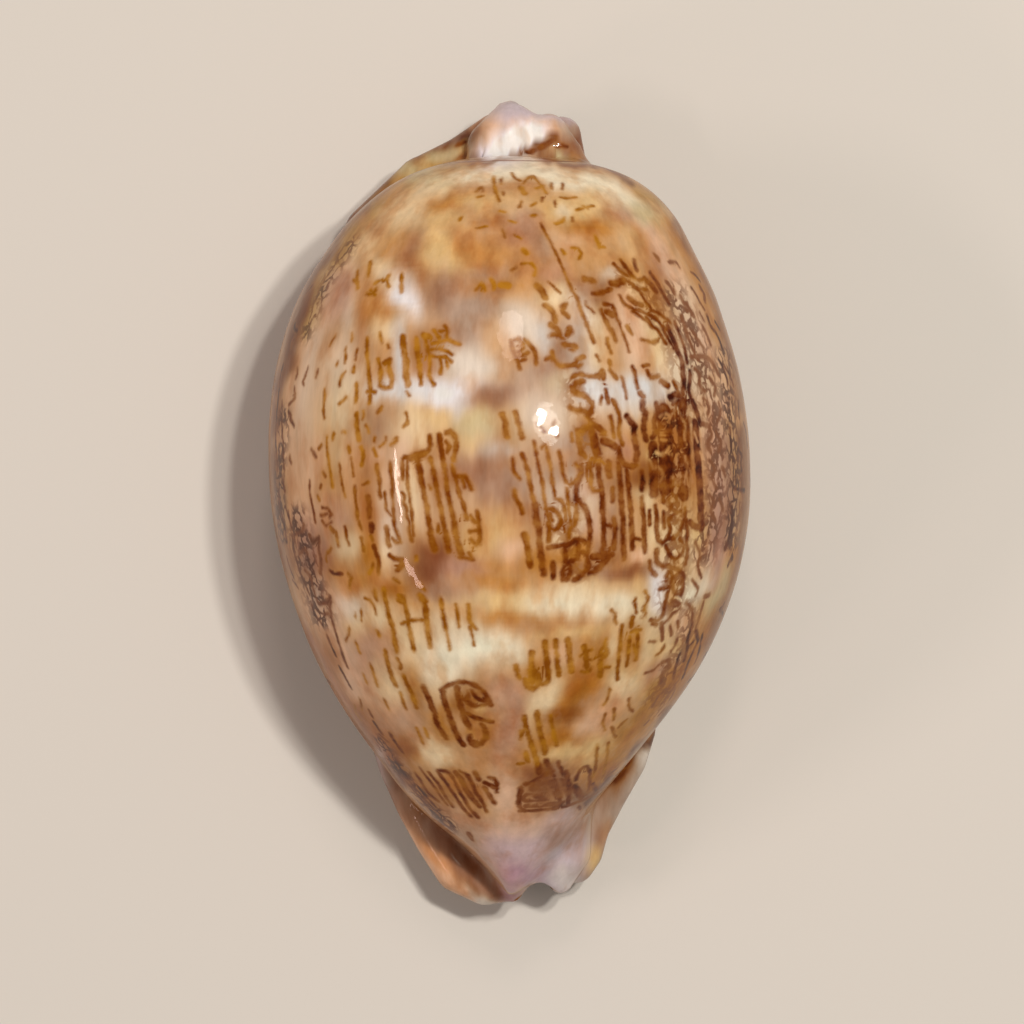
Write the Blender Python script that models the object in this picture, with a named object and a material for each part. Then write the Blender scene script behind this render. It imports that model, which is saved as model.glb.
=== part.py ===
"""Cowrie shell, 70 mm long: one hollow piece with a toothed slit along its underside.

Frame: metres, +Z up. The shell rests on its flattened base at z = 0. +Y is the posterior (spire) end,
-Y the anterior end, +X the columellar side and -X the side of the outer lip.

The shell is a curved sheet with thickness. Its outer face is found by casting rays from a spine inside
the body whorl out to a blend of simple forms, and its inner face by casting them out to the chamber's
wall. The two faces meet at a rounded edge that runs along both lips and round both end canals.
"""

import math

import bpy
import numpy as np

MM = 0.001

# Driving dimensions, in millimetres.
LENGTH = 70.0
WIDTH = 41.6
HEIGHT = 33.0
WALL = 1.9
LIP_THICKNESS = 4.2
LABRAL_TEETH = 27
COLUMELLAR_TEETH = 24
TOOTH_HEIGHT = 0.75
LABRAL_TOOTH_REACH = 5.0
COLUMELLAR_TOOTH_REACH = 3.6
TOOTH_ROW_END = 27.5

SHELL_COLOUR = (0.48, 0.29, 0.13, 1.0)

HALF_LENGTH = LENGTH / 2
HALF_WIDTH = WIDTH / 2

# How the mesh is divided: rows run along the shell, columns round it.
ROWS = 176
BASE_COLUMNS = 14
SIDE_COLUMNS = 16
BACK_COLUMNS = 46
EDGE_COLUMNS = 5
TRIANGLE_BUDGET = 8400

# The body whorl runs between these two ends. Its section is given at stations t from -1 (anterior)
# to 1 (posterior), as shares of the half width or of the height.
BODY_FRONT = -0.97 * HALF_LENGTH
BODY_REAR = 0.853 * HALF_LENGTH
STATION_T = (-1.0, -0.9, -0.8, -0.6, -0.4, -0.2, 0.0, 0.2, 0.4, 0.6, 0.8, 0.92, 1.0)
LEFT_WIDTH = (0.10, 0.325, 0.536, 0.724, 0.844, 0.918, 0.976, 1.020, 1.064, 1.108, 1.160, 1.26, 1.42)
RIGHT_WIDTH = (0.24, 0.36, 0.483, 0.684, 0.842, 0.935, 0.988, 1.017, 1.043, 1.082, 1.200, 1.42, 1.70)
CROWN_RISE = (0.30, 0.335, 0.380, 0.462, 0.526, 0.574, 0.600, 0.611, 0.620, 0.631, 0.650, 0.68, 0.72)
WIDEST_LEVEL = (0.27, 0.275, 0.29, 0.33, 0.365, 0.385, 0.394, 0.400, 0.405, 0.410, 0.415, 0.418, 0.42)
BASE_DROP = (0.30, 0.42, 0.48, 0.475, 0.465, 0.466, 0.472, 0.482, 0.51, 0.585, 0.77, 0.92, 1.00)
CROWN_ROUNDNESS = 2.08
BASE_ROUNDNESS = 2.6

# Round cones blended onto the body: lists of (x, y, z, radius) along each one, in millimetres.
LABRAL_FLANGE = (
    (-9.6, -12.5, 5.2, 1.8),
    (-10.2, -16.4, 4.7, 2.2),
    (-10.0, -19.8, 4.4, 2.4),
    (-9.2, -22.8, 4.4, 2.3),
    (-7.8, -26.4, 4.6, 2.1),
    (-6.2, -29.5, 4.8, 2.0),
    (-4.5, -32.1, 5.0, 2.0),
    (-2.1, -33.35, 5.3, 1.85),
    (0.0, -33.3, 5.9, 1.5),
)
COLUMELLAR_FLANGE = (
    (10.0, -13.0, 5.4, 1.6),
    (10.9, -17.0, 4.9, 2.0),
    (10.6, -19.8, 4.5, 2.2),
    (9.9, -22.4, 4.5, 2.1),
    (8.3, -25.6, 4.6, 1.9),
    (7.0, -28.4, 4.7, 1.75),
    (6.5, -30.6, 4.6, 1.65),
    (5.8, -31.7, 4.6, 1.6),
)
LABRAL_BASE = ((-6.0, -20.0, 4.0, 3.9), (-4.0, -27.0, 3.4, 3.2), (-1.4, -31.2, 3.6, 2.6))
COLUMELLAR_BASE = ((7.0, -20.0, 4.0, 3.8), (5.4, -26.0, 3.2, 3.0), (4.4, -30.6, 3.4, 2.2))
ROSTRUM = ((0.2, -22.6, 9.4, 6.2), (1.7, -27.4, 8.6, 4.1), (2.5, -29.9, 7.5, 2.9))
LEFT_SPOUT = ((0.2, -29.2, 7.6, 2.2), (0.1, -32.9, 6.2, 1.5))
RIGHT_SPOUT = (
    (4.4, -24.6, 8.2, 2.8),
    (5.0, -28.4, 7.6, 2.15),
    (5.1, -30.4, 7.2, 2.0),
    (4.1, -32.6, 6.3, 1.6),
)
POSTERIOR_FLANGE = (
    (-11.0, 23.0, 5.2, 3.6),
    (-7.4, 27.6, 6.0, 2.7),
    (-4.0, 30.1, 6.4, 1.95),
    (-1.2, 32.3, 6.8, 1.7),
)
POSTERIOR_CALLUS = ((-1.2, 30.8, 9.4, 2.5), (0.1, 32.4, 9.2, 2.3), (0.0, 33.4, 8.6, 1.55))
CANAL_BRIDGE = ((0.4, 31.0, 9.4, 2.7), (3.3, 31.9, 9.0, 1.9), (4.9, 30.4, 9.2, 1.4))
SPIRE = ((5.2, 27.0, 11.4, 2.4), (5.2, 28.7, 8.6, 1.9))
LABRAL_TIP = ((0.5, 32.2, 5.6, 1.5), (0.2, 28.8, 4.8, 2.3), (-4.5, 24.0, 5.0, 3.4))
COLUMELLAR_TIP = ((4.6, 32.1, 5.6, 1.65), (4.7, 28.8, 5.0, 2.2), (8.5, 24.0, 5.0, 3.2))

# Each form above, with the width of the fillet that joins it on.
BLENDED = (
    (ROSTRUM, 3.0),
    (LEFT_SPOUT, 1.4),
    (RIGHT_SPOUT, 1.6),
    (LABRAL_BASE, 1.2),
    (COLUMELLAR_BASE, 1.2),
    (LABRAL_FLANGE, 0.8),
    (COLUMELLAR_FLANGE, 0.8),
    (SPIRE, 1.2),
    (POSTERIOR_FLANGE, 0.8),
    (LABRAL_TIP, 0.8),
    (COLUMELLAR_TIP, 0.8),
    (POSTERIOR_CALLUS, 0.7),
    (CANAL_BRIDGE, 0.8),
)

# The spine that the rays start from, and the slit that opens below it, at shares of its length.
SPINE_SHARE = (0.0, 0.12, 0.3, 0.5, 0.7, 0.88, 1.0)
SPINE_Y = (-24.6, -18.2, -8.6, 1.0, 9.6, 16.4, 21.0)
SPINE_X = (2.4, 0.4, -1.2, -1.8, -1.4, 0.7, 2.5)
SPINE_Z = (6.0, 8.2, 11.2, 12.4, 11.6, 8.8, 6.4)
SLIT_Y = (-34.0, -27.0, -15.0, 0.0, 14.0, 25.0, 34.0)
SLIT_X = (2.3, 0.9, -1.0, -1.8, -1.3, 0.8, 2.5)
SLIT_HALF_WIDTH = (0.95, 1.6, 1.75, 1.6, 1.5, 1.45, 0.9)
LIP_ROUND = (1.1, 1.4, 1.7, 1.7, 1.7, 1.5, 1.1)

# The base is lifted a little towards the slit, so that the teeth stand clear of the floor.
VALLEY_DEPTH = 0.85
VALLEY_REACH = 5.2
BASE_EDGE_ROUND = 1.1

# How far the first and last rows of rays tip over towards the ends, on the outer and inner faces.
OUTER_TILT = (math.radians(76.5), math.radians(79.5))
INNER_TILT = (math.radians(76.5), math.radians(80.5))

# The chamber inside, and the roll of the columella that stands in it.
COLUMELLA = ((8.0, -14.0, 7.0, 2.6), (9.0, 2.0, 9.5, 5.2), (8.0, 14.0, 9.0, 4.2))
CANAL_RADIUS = 1.7


def smooth_min(a, b, blend):
    """The union of two distance fields, with a fillet about as wide as blend."""
    overlap = np.maximum(blend - np.abs(a - b), 0.0) / blend
    return np.minimum(a, b) - overlap * overlap * blend / 4


def smooth_max(a, b, blend):
    return -smooth_min(-a, -b, blend)


def smooth_step(x):
    x = np.clip(x, 0, 1)
    return x * x * (3 - 2 * x)


def spline(x, knots, values):
    """A smooth curve through the given values, flat in slope past both ends."""
    knots = np.asarray(knots, float)
    values = np.asarray(values, float)
    slopes = np.gradient(values, knots)
    x = np.clip(x, knots[0], knots[-1])
    i = np.clip(np.searchsorted(knots, x, side="right") - 1, 0, len(knots) - 2)
    gap = knots[i + 1] - knots[i]
    s = (x - knots[i]) / gap
    rise = values[i + 1] - values[i]
    start = slopes[i] * gap
    end = slopes[i + 1] * gap
    return values[i] + s * (start + s * (3 * rise - 2 * start - end + s * (start + end - 2 * rise)))


def round_cones(points, chain):
    """Distance to a chain of round cones."""
    nearest = np.full(len(points), np.inf)
    for first, last in zip(chain, chain[1:]):
        start = np.array(first[:3])
        along = np.array(last[:3]) - start
        share = np.clip((points - start) @ along / (along @ along), 0.0, 1.0)
        gap = np.linalg.norm(points - start - share[:, None] * along, axis=1)
        nearest = np.minimum(nearest, gap - (first[3] + share * (last[3] - first[3])))
    return nearest


def egg(points, inset=0.0):
    """Distance to the body whorl's egg, or to a smaller one inside it."""
    x, y, z = points.T
    middle = (BODY_FRONT + BODY_REAR) / 2
    half = (BODY_REAR - BODY_FRONT) / 2
    t = (y - middle) / half
    level = spline(t, STATION_T, WIDEST_LEVEL) * HEIGHT
    left = spline(t, STATION_T, LEFT_WIDTH) * HALF_WIDTH
    right = spline(t, STATION_T, RIGHT_WIDTH) * HALF_WIDTH
    side = np.abs(x) / (np.where(x < 0, left, right) - inset)
    rise = z - level
    crown = spline(t, STATION_T, CROWN_RISE) * HEIGHT - inset
    drop = spline(t, STATION_T, BASE_DROP) * HEIGHT - inset
    above = (side**CROWN_ROUNDNESS + np.abs(rise / crown) ** CROWN_ROUNDNESS) ** (1 / CROWN_ROUNDNESS)
    below = (side**BASE_ROUNDNESS + np.abs(rise / drop) ** BASE_ROUNDNESS) ** (1 / BASE_ROUNDNESS)
    around = np.where(rise > 0, above, below)
    reach = np.sqrt(around**2 + (t * half / (half - inset)) ** 2) + 1e-9
    size = np.sqrt(x**2 + rise**2 + (y - middle) ** 2)
    return size * (1 - 1 / reach)


def outside(points):
    """Distance to the whole outer form: negative inside it."""
    d = egg(points)
    for chain, fillet in BLENDED:
        d = smooth_min(d, round_cones(points, chain), fillet)
    from_slit = np.abs(points[:, 0] - spline(points[:, 1], SLIT_Y, SLIT_X))
    valley = VALLEY_DEPTH * (1 - smooth_step(from_slit / VALLEY_REACH))
    return smooth_max(d, valley - points[:, 2], BASE_EDGE_ROUND)


def chamber(points):
    """Distance to the hollow inside: negative in the hollow."""
    spine = list(zip(SPINE_X, SPINE_Y, SPINE_Z, [CANAL_RADIUS] * len(SPINE_X)))
    spine = [(SLIT_X[0], SLIT_Y[0], SPINE_Z[0], CANAL_RADIUS)] + spine
    spine.append((SLIT_X[-1], SLIT_Y[-1], SPINE_Z[-1], CANAL_RADIUS))
    hollow = smooth_max(egg(points, WALL + 0.9), LIP_THICKNESS - points[:, 2], 2.0)
    hollow = smooth_max(hollow, np.abs(points[:, 1] + 0.5) - 25.5, 3.0)
    hollow = smooth_min(hollow, round_cones(points, spine), 1.5)
    return smooth_max(hollow, -round_cones(points, COLUMELLA), 2.0)


def cast(starts, directions, field, outermost, reach=48.0, steps=72):
    """Where each ray crosses the field's surface: its last crossing, or its first."""
    hit = np.full(len(starts), 0.0 if outermost else reach)
    open_rays = np.ones(len(starts), bool)
    distances = np.linspace(0, reach, steps + 1)
    for far in distances[:0:-1] if outermost else distances[1:]:
        looked = np.flatnonzero(open_rays)
        at = starts[looked] + (far - (reach / steps if outermost else 0.0)) * directions[looked]
        found = looked[(field(at) < 0) if outermost else (field(at) > 0)]
        hit[found] = far
        open_rays[found] = False
    low = hit - reach / steps
    high = hit.copy()
    for _ in range(16):
        middle = (low + high) / 2
        inside = field(starts + middle[:, None] * directions) < 0
        low = np.where(inside, middle, low)
        high = np.where(inside, high, middle)
    return starts + ((low + high) / 2)[:, None] * directions


def slope(points, field, step=0.05):
    """The field's gradient at each point."""
    sides = []
    for axis in range(3):
        nudge = np.zeros(3)
        nudge[axis] = step
        sides.append((field(points + nudge) - field(points - nudge)) / (2 * step))
    return np.stack(sides, 1)


def rim_loop(rows, columns):
    """Grid places round the sheet's edge: up the labral lip, round the rear, down the other lip."""
    loop = [(row, 0) for row in range(rows)]
    loop += [(rows - 1, column) for column in range(1, columns)]
    loop += [(row, columns - 1) for row in range(rows - 2, -1, -1)]
    loop += [(0, column) for column in range(columns - 2, 0, -1)]
    return tuple(np.array(loop).T)


def even_out(loop, rounds):
    """Smooth a closed loop of points or directions."""
    for _ in range(rounds):
        loop = (2 * loop + np.roll(loop, 1, 0) + np.roll(loop, -1, 0)) / 4
    return loop


def relax_onto(grid, field, rounds):
    """Even out a grid's spacing and draw it into the creases that the rays passed over."""
    loop = rim_loop(*grid.shape[:2])
    grid[loop] = even_out(grid[loop], 50)
    for _ in range(rounds):
        middle = (grid[:-2, 1:-1] + grid[2:, 1:-1] + grid[1:-1, :-2] + grid[1:-1, 2:]) / 4
        points = (0.4 * grid[1:-1, 1:-1] + 0.6 * middle).reshape(-1, 3)
        normal = slope(points, field)
        size = np.sum(normal**2, 1)[:, None]
        points -= np.clip(field(points)[:, None] / size, -1.0, 1.0) * normal
        grid[1:-1, 1:-1] = points.reshape(middle.shape)
    return grid


def round_angles(slit, columns):
    """The angle of every column in each row, from the labral lip over the back to the other lip."""
    base, side, back = columns
    counts = (base, side, back, side, base)
    stops = [leg + i / count for leg, count in enumerate(counts) for i in range(count)] + [len(counts)]
    down = math.radians(-90.0)
    angles = np.empty((len(slit), len(stops)))
    for row, (labral, columellar) in enumerate(slit):
        corners = (
            down - labral,
            down - max(math.radians(52.0), labral + math.radians(16.0)),
            math.radians(-190.0),
            math.radians(-350.0),
            down + max(math.radians(52.0), columellar + math.radians(16.0)) - 2 * math.pi,
            down + columellar - 2 * math.pi,
        )
        angles[row] = np.interp(stops, range(len(corners)), corners)
    return angles


def fan(starts, tilt, angles, field, outermost):
    """Cast a fan of rays, one row of angles from each start, and give the points they reach."""
    across = np.cos(tilt)[:, None] * np.cos(angles)
    up = np.cos(tilt)[:, None] * np.sin(angles)
    along = np.broadcast_to(np.sin(tilt)[:, None], angles.shape)
    directions = np.stack([across, along, up], 2).reshape(-1, 3)
    starts = np.repeat(starts, angles.shape[1], 0)
    return cast(starts, directions, field, outermost).reshape(*angles.shape, 3)


def sheet(share, end_tilt, lip_share, columns, field, outermost):
    """One face of the shell's wall as a grid of points, rows by columns."""
    starts = np.stack([spline(share, SPINE_SHARE, values) for values in (SPINE_X, SPINE_Y, SPINE_Z)], 1)
    lean = 2 * share - 1
    tilt = np.where(lean < 0, end_tilt[0], end_tilt[1]) * np.sign(lean) * np.abs(lean) ** 2.6
    slit = np.full((len(share), 2), math.radians(15.0))
    for _ in range(8):
        angles = math.radians(-90.0) + slit * (-1.0, 1.0)
        lips = fan(starts, tilt, angles, field, outermost)
        y = lips[..., 1]
        offset = spline(y, SLIT_Y, SLIT_HALF_WIDTH) + lip_share * spline(y, SLIT_Y, LIP_ROUND)
        wanted = spline(y, SLIT_Y, SLIT_X) + offset * (-1.0, 1.0)
        reach = np.hypot(lips[..., 0] - starts[:, None, 0], lips[..., 2] - starts[:, None, 2])
        sine = (wanted - starts[:, None, 0]) * (-1.0, 1.0) / reach
        slit = (slit + np.arcsin(np.clip(sine, 0.02, 0.97))) / 2
    return fan(starts, tilt, round_angles(slit, columns), field, outermost)


def tooth_rise(points):
    """How far the teeth raise each of these points, most on the lips and less out across the base."""
    x, y, z = points.T
    from_middle = x - spline(y, SLIT_Y, SLIT_X)
    labral = from_middle < 0
    count = np.where(labral, LABRAL_TEETH, COLUMELLAR_TEETH)
    reach = np.where(labral, LABRAL_TOOTH_REACH, COLUMELLAR_TOOTH_REACH)
    phase = (y / (2 * TOOTH_ROW_END) + 0.5) * count
    ridge = (0.5 + 0.5 * np.cos(2 * math.pi * phase)) ** 0.8
    out = np.abs(from_middle) - spline(y, SLIT_Y, SLIT_HALF_WIDTH)
    across = 1 - smooth_step(out / reach)
    ends = smooth_step((TOOTH_ROW_END - np.abs(y)) / 2.5)
    inside = 1 - smooth_step((z - 0.35 * LIP_THICKNESS) / (0.5 * LIP_THICKNESS))
    return TOOTH_HEIGHT * ridge * across * ends * inside


def shell_points():
    """The grids of the outer face and the inner face."""
    share = np.linspace(0, 1, ROWS)
    columns = (BASE_COLUMNS, SIDE_COLUMNS, BACK_COLUMNS)
    outer = sheet(share, OUTER_TILT, 1.0, columns, outside, True)
    inner = sheet(share, INNER_TILT, 0.5, columns, chamber, False)
    return relax_onto(outer, outside, 24), relax_onto(inner, chamber, 6)


def quads(index):
    """The four corners of every cell in a grid of point numbers."""
    corners = (index[:-1, :-1], index[:-1, 1:], index[1:, 1:], index[1:, :-1])
    return np.stack(corners, 2).reshape(-1, 4).tolist()


def build_mesh():
    """The points and faces of the closed wall: its outer face, its rounded edge and its inner face."""
    outer, inner = shell_points()
    rows, columns = outer.shape[:2]
    r, c = rim_loop(rows, columns)
    rim_out = outer[r, c]
    thickness = inner[r, c] - rim_out
    width = np.linalg.norm(thickness, axis=1)[:, None]
    away = rim_out - outer[np.clip(r, 1, rows - 2), np.clip(c, 1, columns - 2)]
    away -= thickness * np.sum(away * thickness, 1)[:, None] / width**2
    away = even_out(away / (np.linalg.norm(away, axis=1)[:, None] + 1e-9), 50)
    away /= np.linalg.norm(away, axis=1)[:, None] + 1e-9
    bulge = np.minimum(width * 0.45, spline(rim_out[:, 1], SLIT_Y, LIP_ROUND)[:, None])
    edge = []
    for step in range(1, EDGE_COLUMNS + 1):
        turn = math.pi * step / (EDGE_COLUMNS + 1)
        edge.append(rim_out + thickness * (1 - math.cos(turn)) / 2 + away * bulge * math.sin(turn))

    outer_index = np.arange(rows * columns).reshape(rows, columns)
    inner_index = outer_index + rows * columns
    edge_index = 2 * rows * columns + np.arange(len(edge) * len(r)).reshape(len(edge), len(r))
    points = np.concatenate([outer.reshape(-1, 3), inner.reshape(-1, 3)] + edge)
    faces = quads(outer_index) + quads(inner_index[:, ::-1])
    rings = np.stack([outer_index[r, c], *edge_index, inner_index[r, c]])
    faces += quads(np.column_stack([rings, rings[:, :1]]))
    return points, faces


def raise_teeth(mesh):
    points = np.array([vertex.co for vertex in mesh.vertices]) / MM
    normals = np.array([vertex.normal for vertex in mesh.vertices])
    points += normals * tooth_rise(points)[:, None]
    mesh.vertices.foreach_set("co", (points * MM).ravel())
    mesh.update()


def rest_on_floor(mesh):
    """Centre the shell over the origin and press its base flat onto z = 0."""
    points = np.array([vertex.co for vertex in mesh.vertices])
    points[:, :2] -= (points[:, :2].min(0) + points[:, :2].max(0)) / 2
    points[points[:, 2] < 0.01 * MM, 2] = 0.0
    mesh.vertices.foreach_set("co", points.ravel())
    mesh.update()


def thinned(shell):
    """The shell's mesh with few faces where it is smooth."""
    modifier = shell.modifiers.new("thin", "DECIMATE")
    shell.data.calc_loop_triangles()
    modifier.ratio = TRIANGLE_BUDGET / len(shell.data.loop_triangles)
    graph = bpy.context.evaluated_depsgraph_get()
    mesh = bpy.data.meshes.new_from_object(shell.evaluated_get(graph))
    shell.modifiers.remove(modifier)
    return mesh


def glazed_shell():
    """Cowrie shell is aragonite with a gloss like glazed porcelain, here in its overall tan."""
    material = bpy.data.materials.new("glazed_shell")
    material.use_nodes = True
    finish = material.node_tree.nodes["Principled BSDF"]
    finish.inputs["Base Color"].default_value = SHELL_COLOUR
    finish.inputs["Roughness"].default_value = 0.12
    finish.inputs["Metallic"].default_value = 0.0
    return material


def main():
    for leftover in list(bpy.data.objects):
        bpy.data.objects.remove(leftover)
    points, faces = build_mesh()
    mesh = bpy.data.meshes.new("shell")
    mesh.from_pydata((points * MM).tolist(), [], faces)
    mesh.update()
    raise_teeth(mesh)
    rest_on_floor(mesh)
    shell = bpy.data.objects.new("shell", mesh)
    bpy.context.scene.collection.objects.link(shell)
    shell.data = thinned(shell)
    rest_on_floor(shell.data)
    shell.data.materials.append(glazed_shell())
    shell.data.shade_smooth()


main()
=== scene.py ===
import json
import math

import bpy
import numpy as np
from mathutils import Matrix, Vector


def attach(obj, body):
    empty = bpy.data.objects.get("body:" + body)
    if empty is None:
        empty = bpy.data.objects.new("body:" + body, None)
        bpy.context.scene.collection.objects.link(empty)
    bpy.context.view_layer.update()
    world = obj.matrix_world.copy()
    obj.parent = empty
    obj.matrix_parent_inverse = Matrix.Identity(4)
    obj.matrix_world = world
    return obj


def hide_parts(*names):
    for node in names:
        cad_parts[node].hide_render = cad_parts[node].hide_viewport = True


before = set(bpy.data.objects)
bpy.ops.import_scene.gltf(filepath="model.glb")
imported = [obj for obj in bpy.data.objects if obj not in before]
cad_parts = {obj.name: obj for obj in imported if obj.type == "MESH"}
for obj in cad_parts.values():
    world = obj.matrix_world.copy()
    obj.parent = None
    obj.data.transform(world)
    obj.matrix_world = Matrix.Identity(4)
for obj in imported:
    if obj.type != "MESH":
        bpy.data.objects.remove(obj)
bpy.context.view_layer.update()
print("frame loaded")

mm = 0.001


def toLinear(hexColour):
    # "#rrggbb" in sRGB to a linear colour with alpha 1
    parts = [int(hexColour[i:i + 2], 16) / 255 for i in (1, 3, 5)]
    return tuple(p / 12.92 if p <= 0.04045 else ((p + 0.055) / 1.055) ** 2.4 for p in parts) + (1.0,)


def addNode(tree, kind, inputs=None, **settings):
    # inputs are given by name or by place: a socket is linked, anything else becomes the value
    node = tree.nodes.new(kind)
    node.location = (190 * (len(tree.nodes) % 9), -230 * (len(tree.nodes) // 9))
    for name, value in settings.items():
        setattr(node, name, value)
    for place, value in (inputs or {}).items():
        if isinstance(value, bpy.types.NodeSocket):
            tree.links.new(value, node.inputs[place])
        else:
            node.inputs[place].default_value = value
    return node


# The shell's form, in millimetres: +Y is the spire end and -X the side of the outer lip.
shell = {
    "length": 70.0,
    "width": 41.6,
    "height": 33.0,
    "wall": 1.9,
    "lipThickness": 4.2,
    "baseLift": 0.85,  # how far the base rises towards the slit
    "baseLiftReach": 5.2,
    "baseEdgeRound": 1.1,
    "canalRadius": 1.7,
    "rows": 100,  # of the first grid: the outer face then gets twice as many
    "columns": (18, 22, 90),  # in each half of the base, in each side, and over the back
    "edgeColumns": 8,
    "bulge": 0.45,  # of the rounded edge, as a share of its width
    "outerTilt": (76.5, 79.5),  # how far the fans of rays lean over at the two ends, in degrees
    "innerTilt": (76.5, 80.5),
    "tiltPower": 2.6,  # above 1, the fans crowd towards the ends
    "innerLip": 0.5,  # where the inner face ends, as a share of the lips' roundness
    # rounds of evening out, over the face and along its rim
    "outerRounds": (24, 50),
    "refinedRounds": (3, 4),
    "innerRounds": (6, 50),
    "edgeRounds": 200,
}

# The angles, in degrees, that divide each fan of rays into base, sides and back.
fanAngles = {
    "down": -90.0,
    "slit": 15.0,  # the first guess at a lip's angle from straight down
    "baseLeast": 52.0,
    "basePast": 16.0,
    "labralSide": -190.0,
    "columellarSide": -350.0,
}

# The whorl's section at stations from -1 (front) to 1 (spire), as shares of the half width or height.
whorl = {
    "front": -0.97 * shell["length"] / 2,
    "rear": 0.853 * shell["length"] / 2,
    "station": (-1.0, -0.9, -0.8, -0.6, -0.4, -0.2, 0.0, 0.2, 0.4, 0.6, 0.8, 0.92, 1.0),
    "left": (0.10, 0.325, 0.536, 0.724, 0.844, 0.918, 0.976, 1.020, 1.064, 1.108, 1.160, 1.26, 1.42),
    "right": (0.24, 0.36, 0.483, 0.684, 0.842, 0.935, 0.988, 1.017, 1.043, 1.082, 1.200, 1.42, 1.70),
    "crown": (0.30, 0.335, 0.380, 0.462, 0.526, 0.574, 0.600, 0.611, 0.620, 0.631, 0.650, 0.68, 0.72),
    "level": (0.27, 0.275, 0.29, 0.33, 0.365, 0.385, 0.394, 0.400, 0.405, 0.410, 0.415, 0.418, 0.42),
    "drop": (0.30, 0.42, 0.48, 0.475, 0.465, 0.466, 0.472, 0.482, 0.51, 0.585, 0.77, 0.92, 1.00),
    "crownRoundness": 2.08,
    "baseRoundness": 2.6,
}

# Round cones blended onto the whorl: the width of the blend, then (x, y, z, radius) along each one.
endForms = {
    "rostrum": (3.0, (0.2, -22.6, 9.4, 6.2), (1.7, -27.4, 8.6, 4.1), (2.5, -29.9, 7.5, 2.9)),
    "leftSpout": (1.4, (0.2, -29.2, 7.6, 2.2), (0.1, -32.9, 6.2, 1.5)),
    "rightSpout": (1.6, (4.4, -24.6, 8.2, 2.8), (5.0, -28.4, 7.6, 2.15), (5.1, -30.4, 7.2, 2.0),
                   (4.1, -32.6, 6.3, 1.6)),
    "labralBase": (1.2, (-6.0, -20.0, 4.0, 3.9), (-4.0, -27.0, 3.4, 3.2), (-1.4, -31.2, 3.6, 2.6)),
    "columellarBase": (1.2, (7.0, -20.0, 4.0, 3.8), (5.4, -26.0, 3.2, 3.0), (4.4, -30.6, 3.4, 2.2)),
    "labralFlange": (0.8, (-9.6, -12.5, 5.2, 1.8), (-10.2, -16.4, 4.7, 2.2), (-10.0, -19.8, 4.4, 2.4),
                     (-9.2, -22.8, 4.4, 2.3), (-7.8, -26.4, 4.6, 2.1), (-6.2, -29.5, 4.8, 2.0),
                     (-4.5, -32.1, 5.0, 2.0), (-2.1, -33.35, 5.3, 1.85), (0.0, -33.3, 5.9, 1.5)),
    "columellarFlange": (0.8, (10.0, -13.0, 5.4, 1.6), (10.9, -17.0, 4.9, 2.0), (10.6, -19.8, 4.5, 2.2),
                         (9.9, -22.4, 4.5, 2.1), (8.3, -25.6, 4.6, 1.9), (7.0, -28.4, 4.7, 1.75),
                         (6.5, -30.6, 4.6, 1.65), (5.8, -31.7, 4.6, 1.6)),
    "spire": (1.2, (5.2, 27.0, 11.4, 2.4), (5.2, 28.7, 8.6, 1.9)),
    "posteriorFlange": (0.8, (-11.0, 23.0, 5.2, 3.6), (-7.4, 27.6, 6.0, 2.7), (-4.0, 30.1, 6.4, 1.95),
                        (-1.2, 32.3, 6.8, 1.7)),
    "labralTip": (0.8, (0.5, 32.2, 5.6, 1.5), (0.2, 28.8, 4.8, 2.3), (-4.5, 24.0, 5.0, 3.4)),
    "columellarTip": (0.8, (4.6, 32.1, 5.6, 1.65), (4.7, 28.8, 5.0, 2.2), (8.5, 24.0, 5.0, 3.2)),
    "posteriorCallus": (0.7, (-1.2, 30.8, 9.4, 2.5), (0.1, 32.4, 9.2, 2.3), (0.0, 33.4, 8.6, 1.55)),
    "canalBridge": (0.8, (0.4, 31.0, 9.4, 2.7), (3.3, 31.9, 9.0, 1.9), (4.9, 30.4, 9.2, 1.4)),
}

# The spine that the rays start from, at shares of its length.
spine = {
    "share": (0.0, 0.12, 0.3, 0.5, 0.7, 0.88, 1.0),
    "x": (2.4, 0.4, -1.2, -1.8, -1.4, 0.7, 2.5),
    "y": (-24.6, -18.2, -8.6, 1.0, 9.6, 16.4, 21.0),
    "z": (6.0, 8.2, 11.2, 12.4, 11.6, 8.8, 6.4),
}

# The slit below it: its middle, its half width, and how round the lips are.
slit = {
    "y": (-34.0, -27.0, -15.0, 0.0, 14.0, 25.0, 34.0),
    "middle": (2.3, 0.9, -1.0, -1.8, -1.3, 0.8, 2.5),
    "halfWidth": (0.95, 1.6, 1.75, 1.6, 1.5, 1.45, 0.9),
    "lipRound": (1.1, 1.4, 1.7, 1.7, 1.7, 1.5, 1.1),
}

# The hollow inside, with the roll that stands for the inner whorls.
hollow = {
    "inset": 0.9,  # past the wall's thickness
    "middle": -0.5,
    "halfLength": 25.5,
    "floorBlend": 2.0,
    "endBlend": 3.0,
    "canalBlend": 1.5,
    "rollBlend": 2.0,
    "roll": ((8.0, -14.0, 7.0, 2.6), (9.0, 2.0, 9.5, 5.2), (8.0, 14.0, 9.0, 4.2)),
}


def smoothMin(a, b, blend):
    overlap = np.maximum(blend - np.abs(a - b), 0.0) / blend
    return np.minimum(a, b) - overlap * overlap * blend / 4


def smoothMax(a, b, blend):
    return -smoothMin(-a, -b, blend)


def smoothStep(x):
    x = np.clip(x, 0, 1)
    return x * x * (3 - 2 * x)


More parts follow.
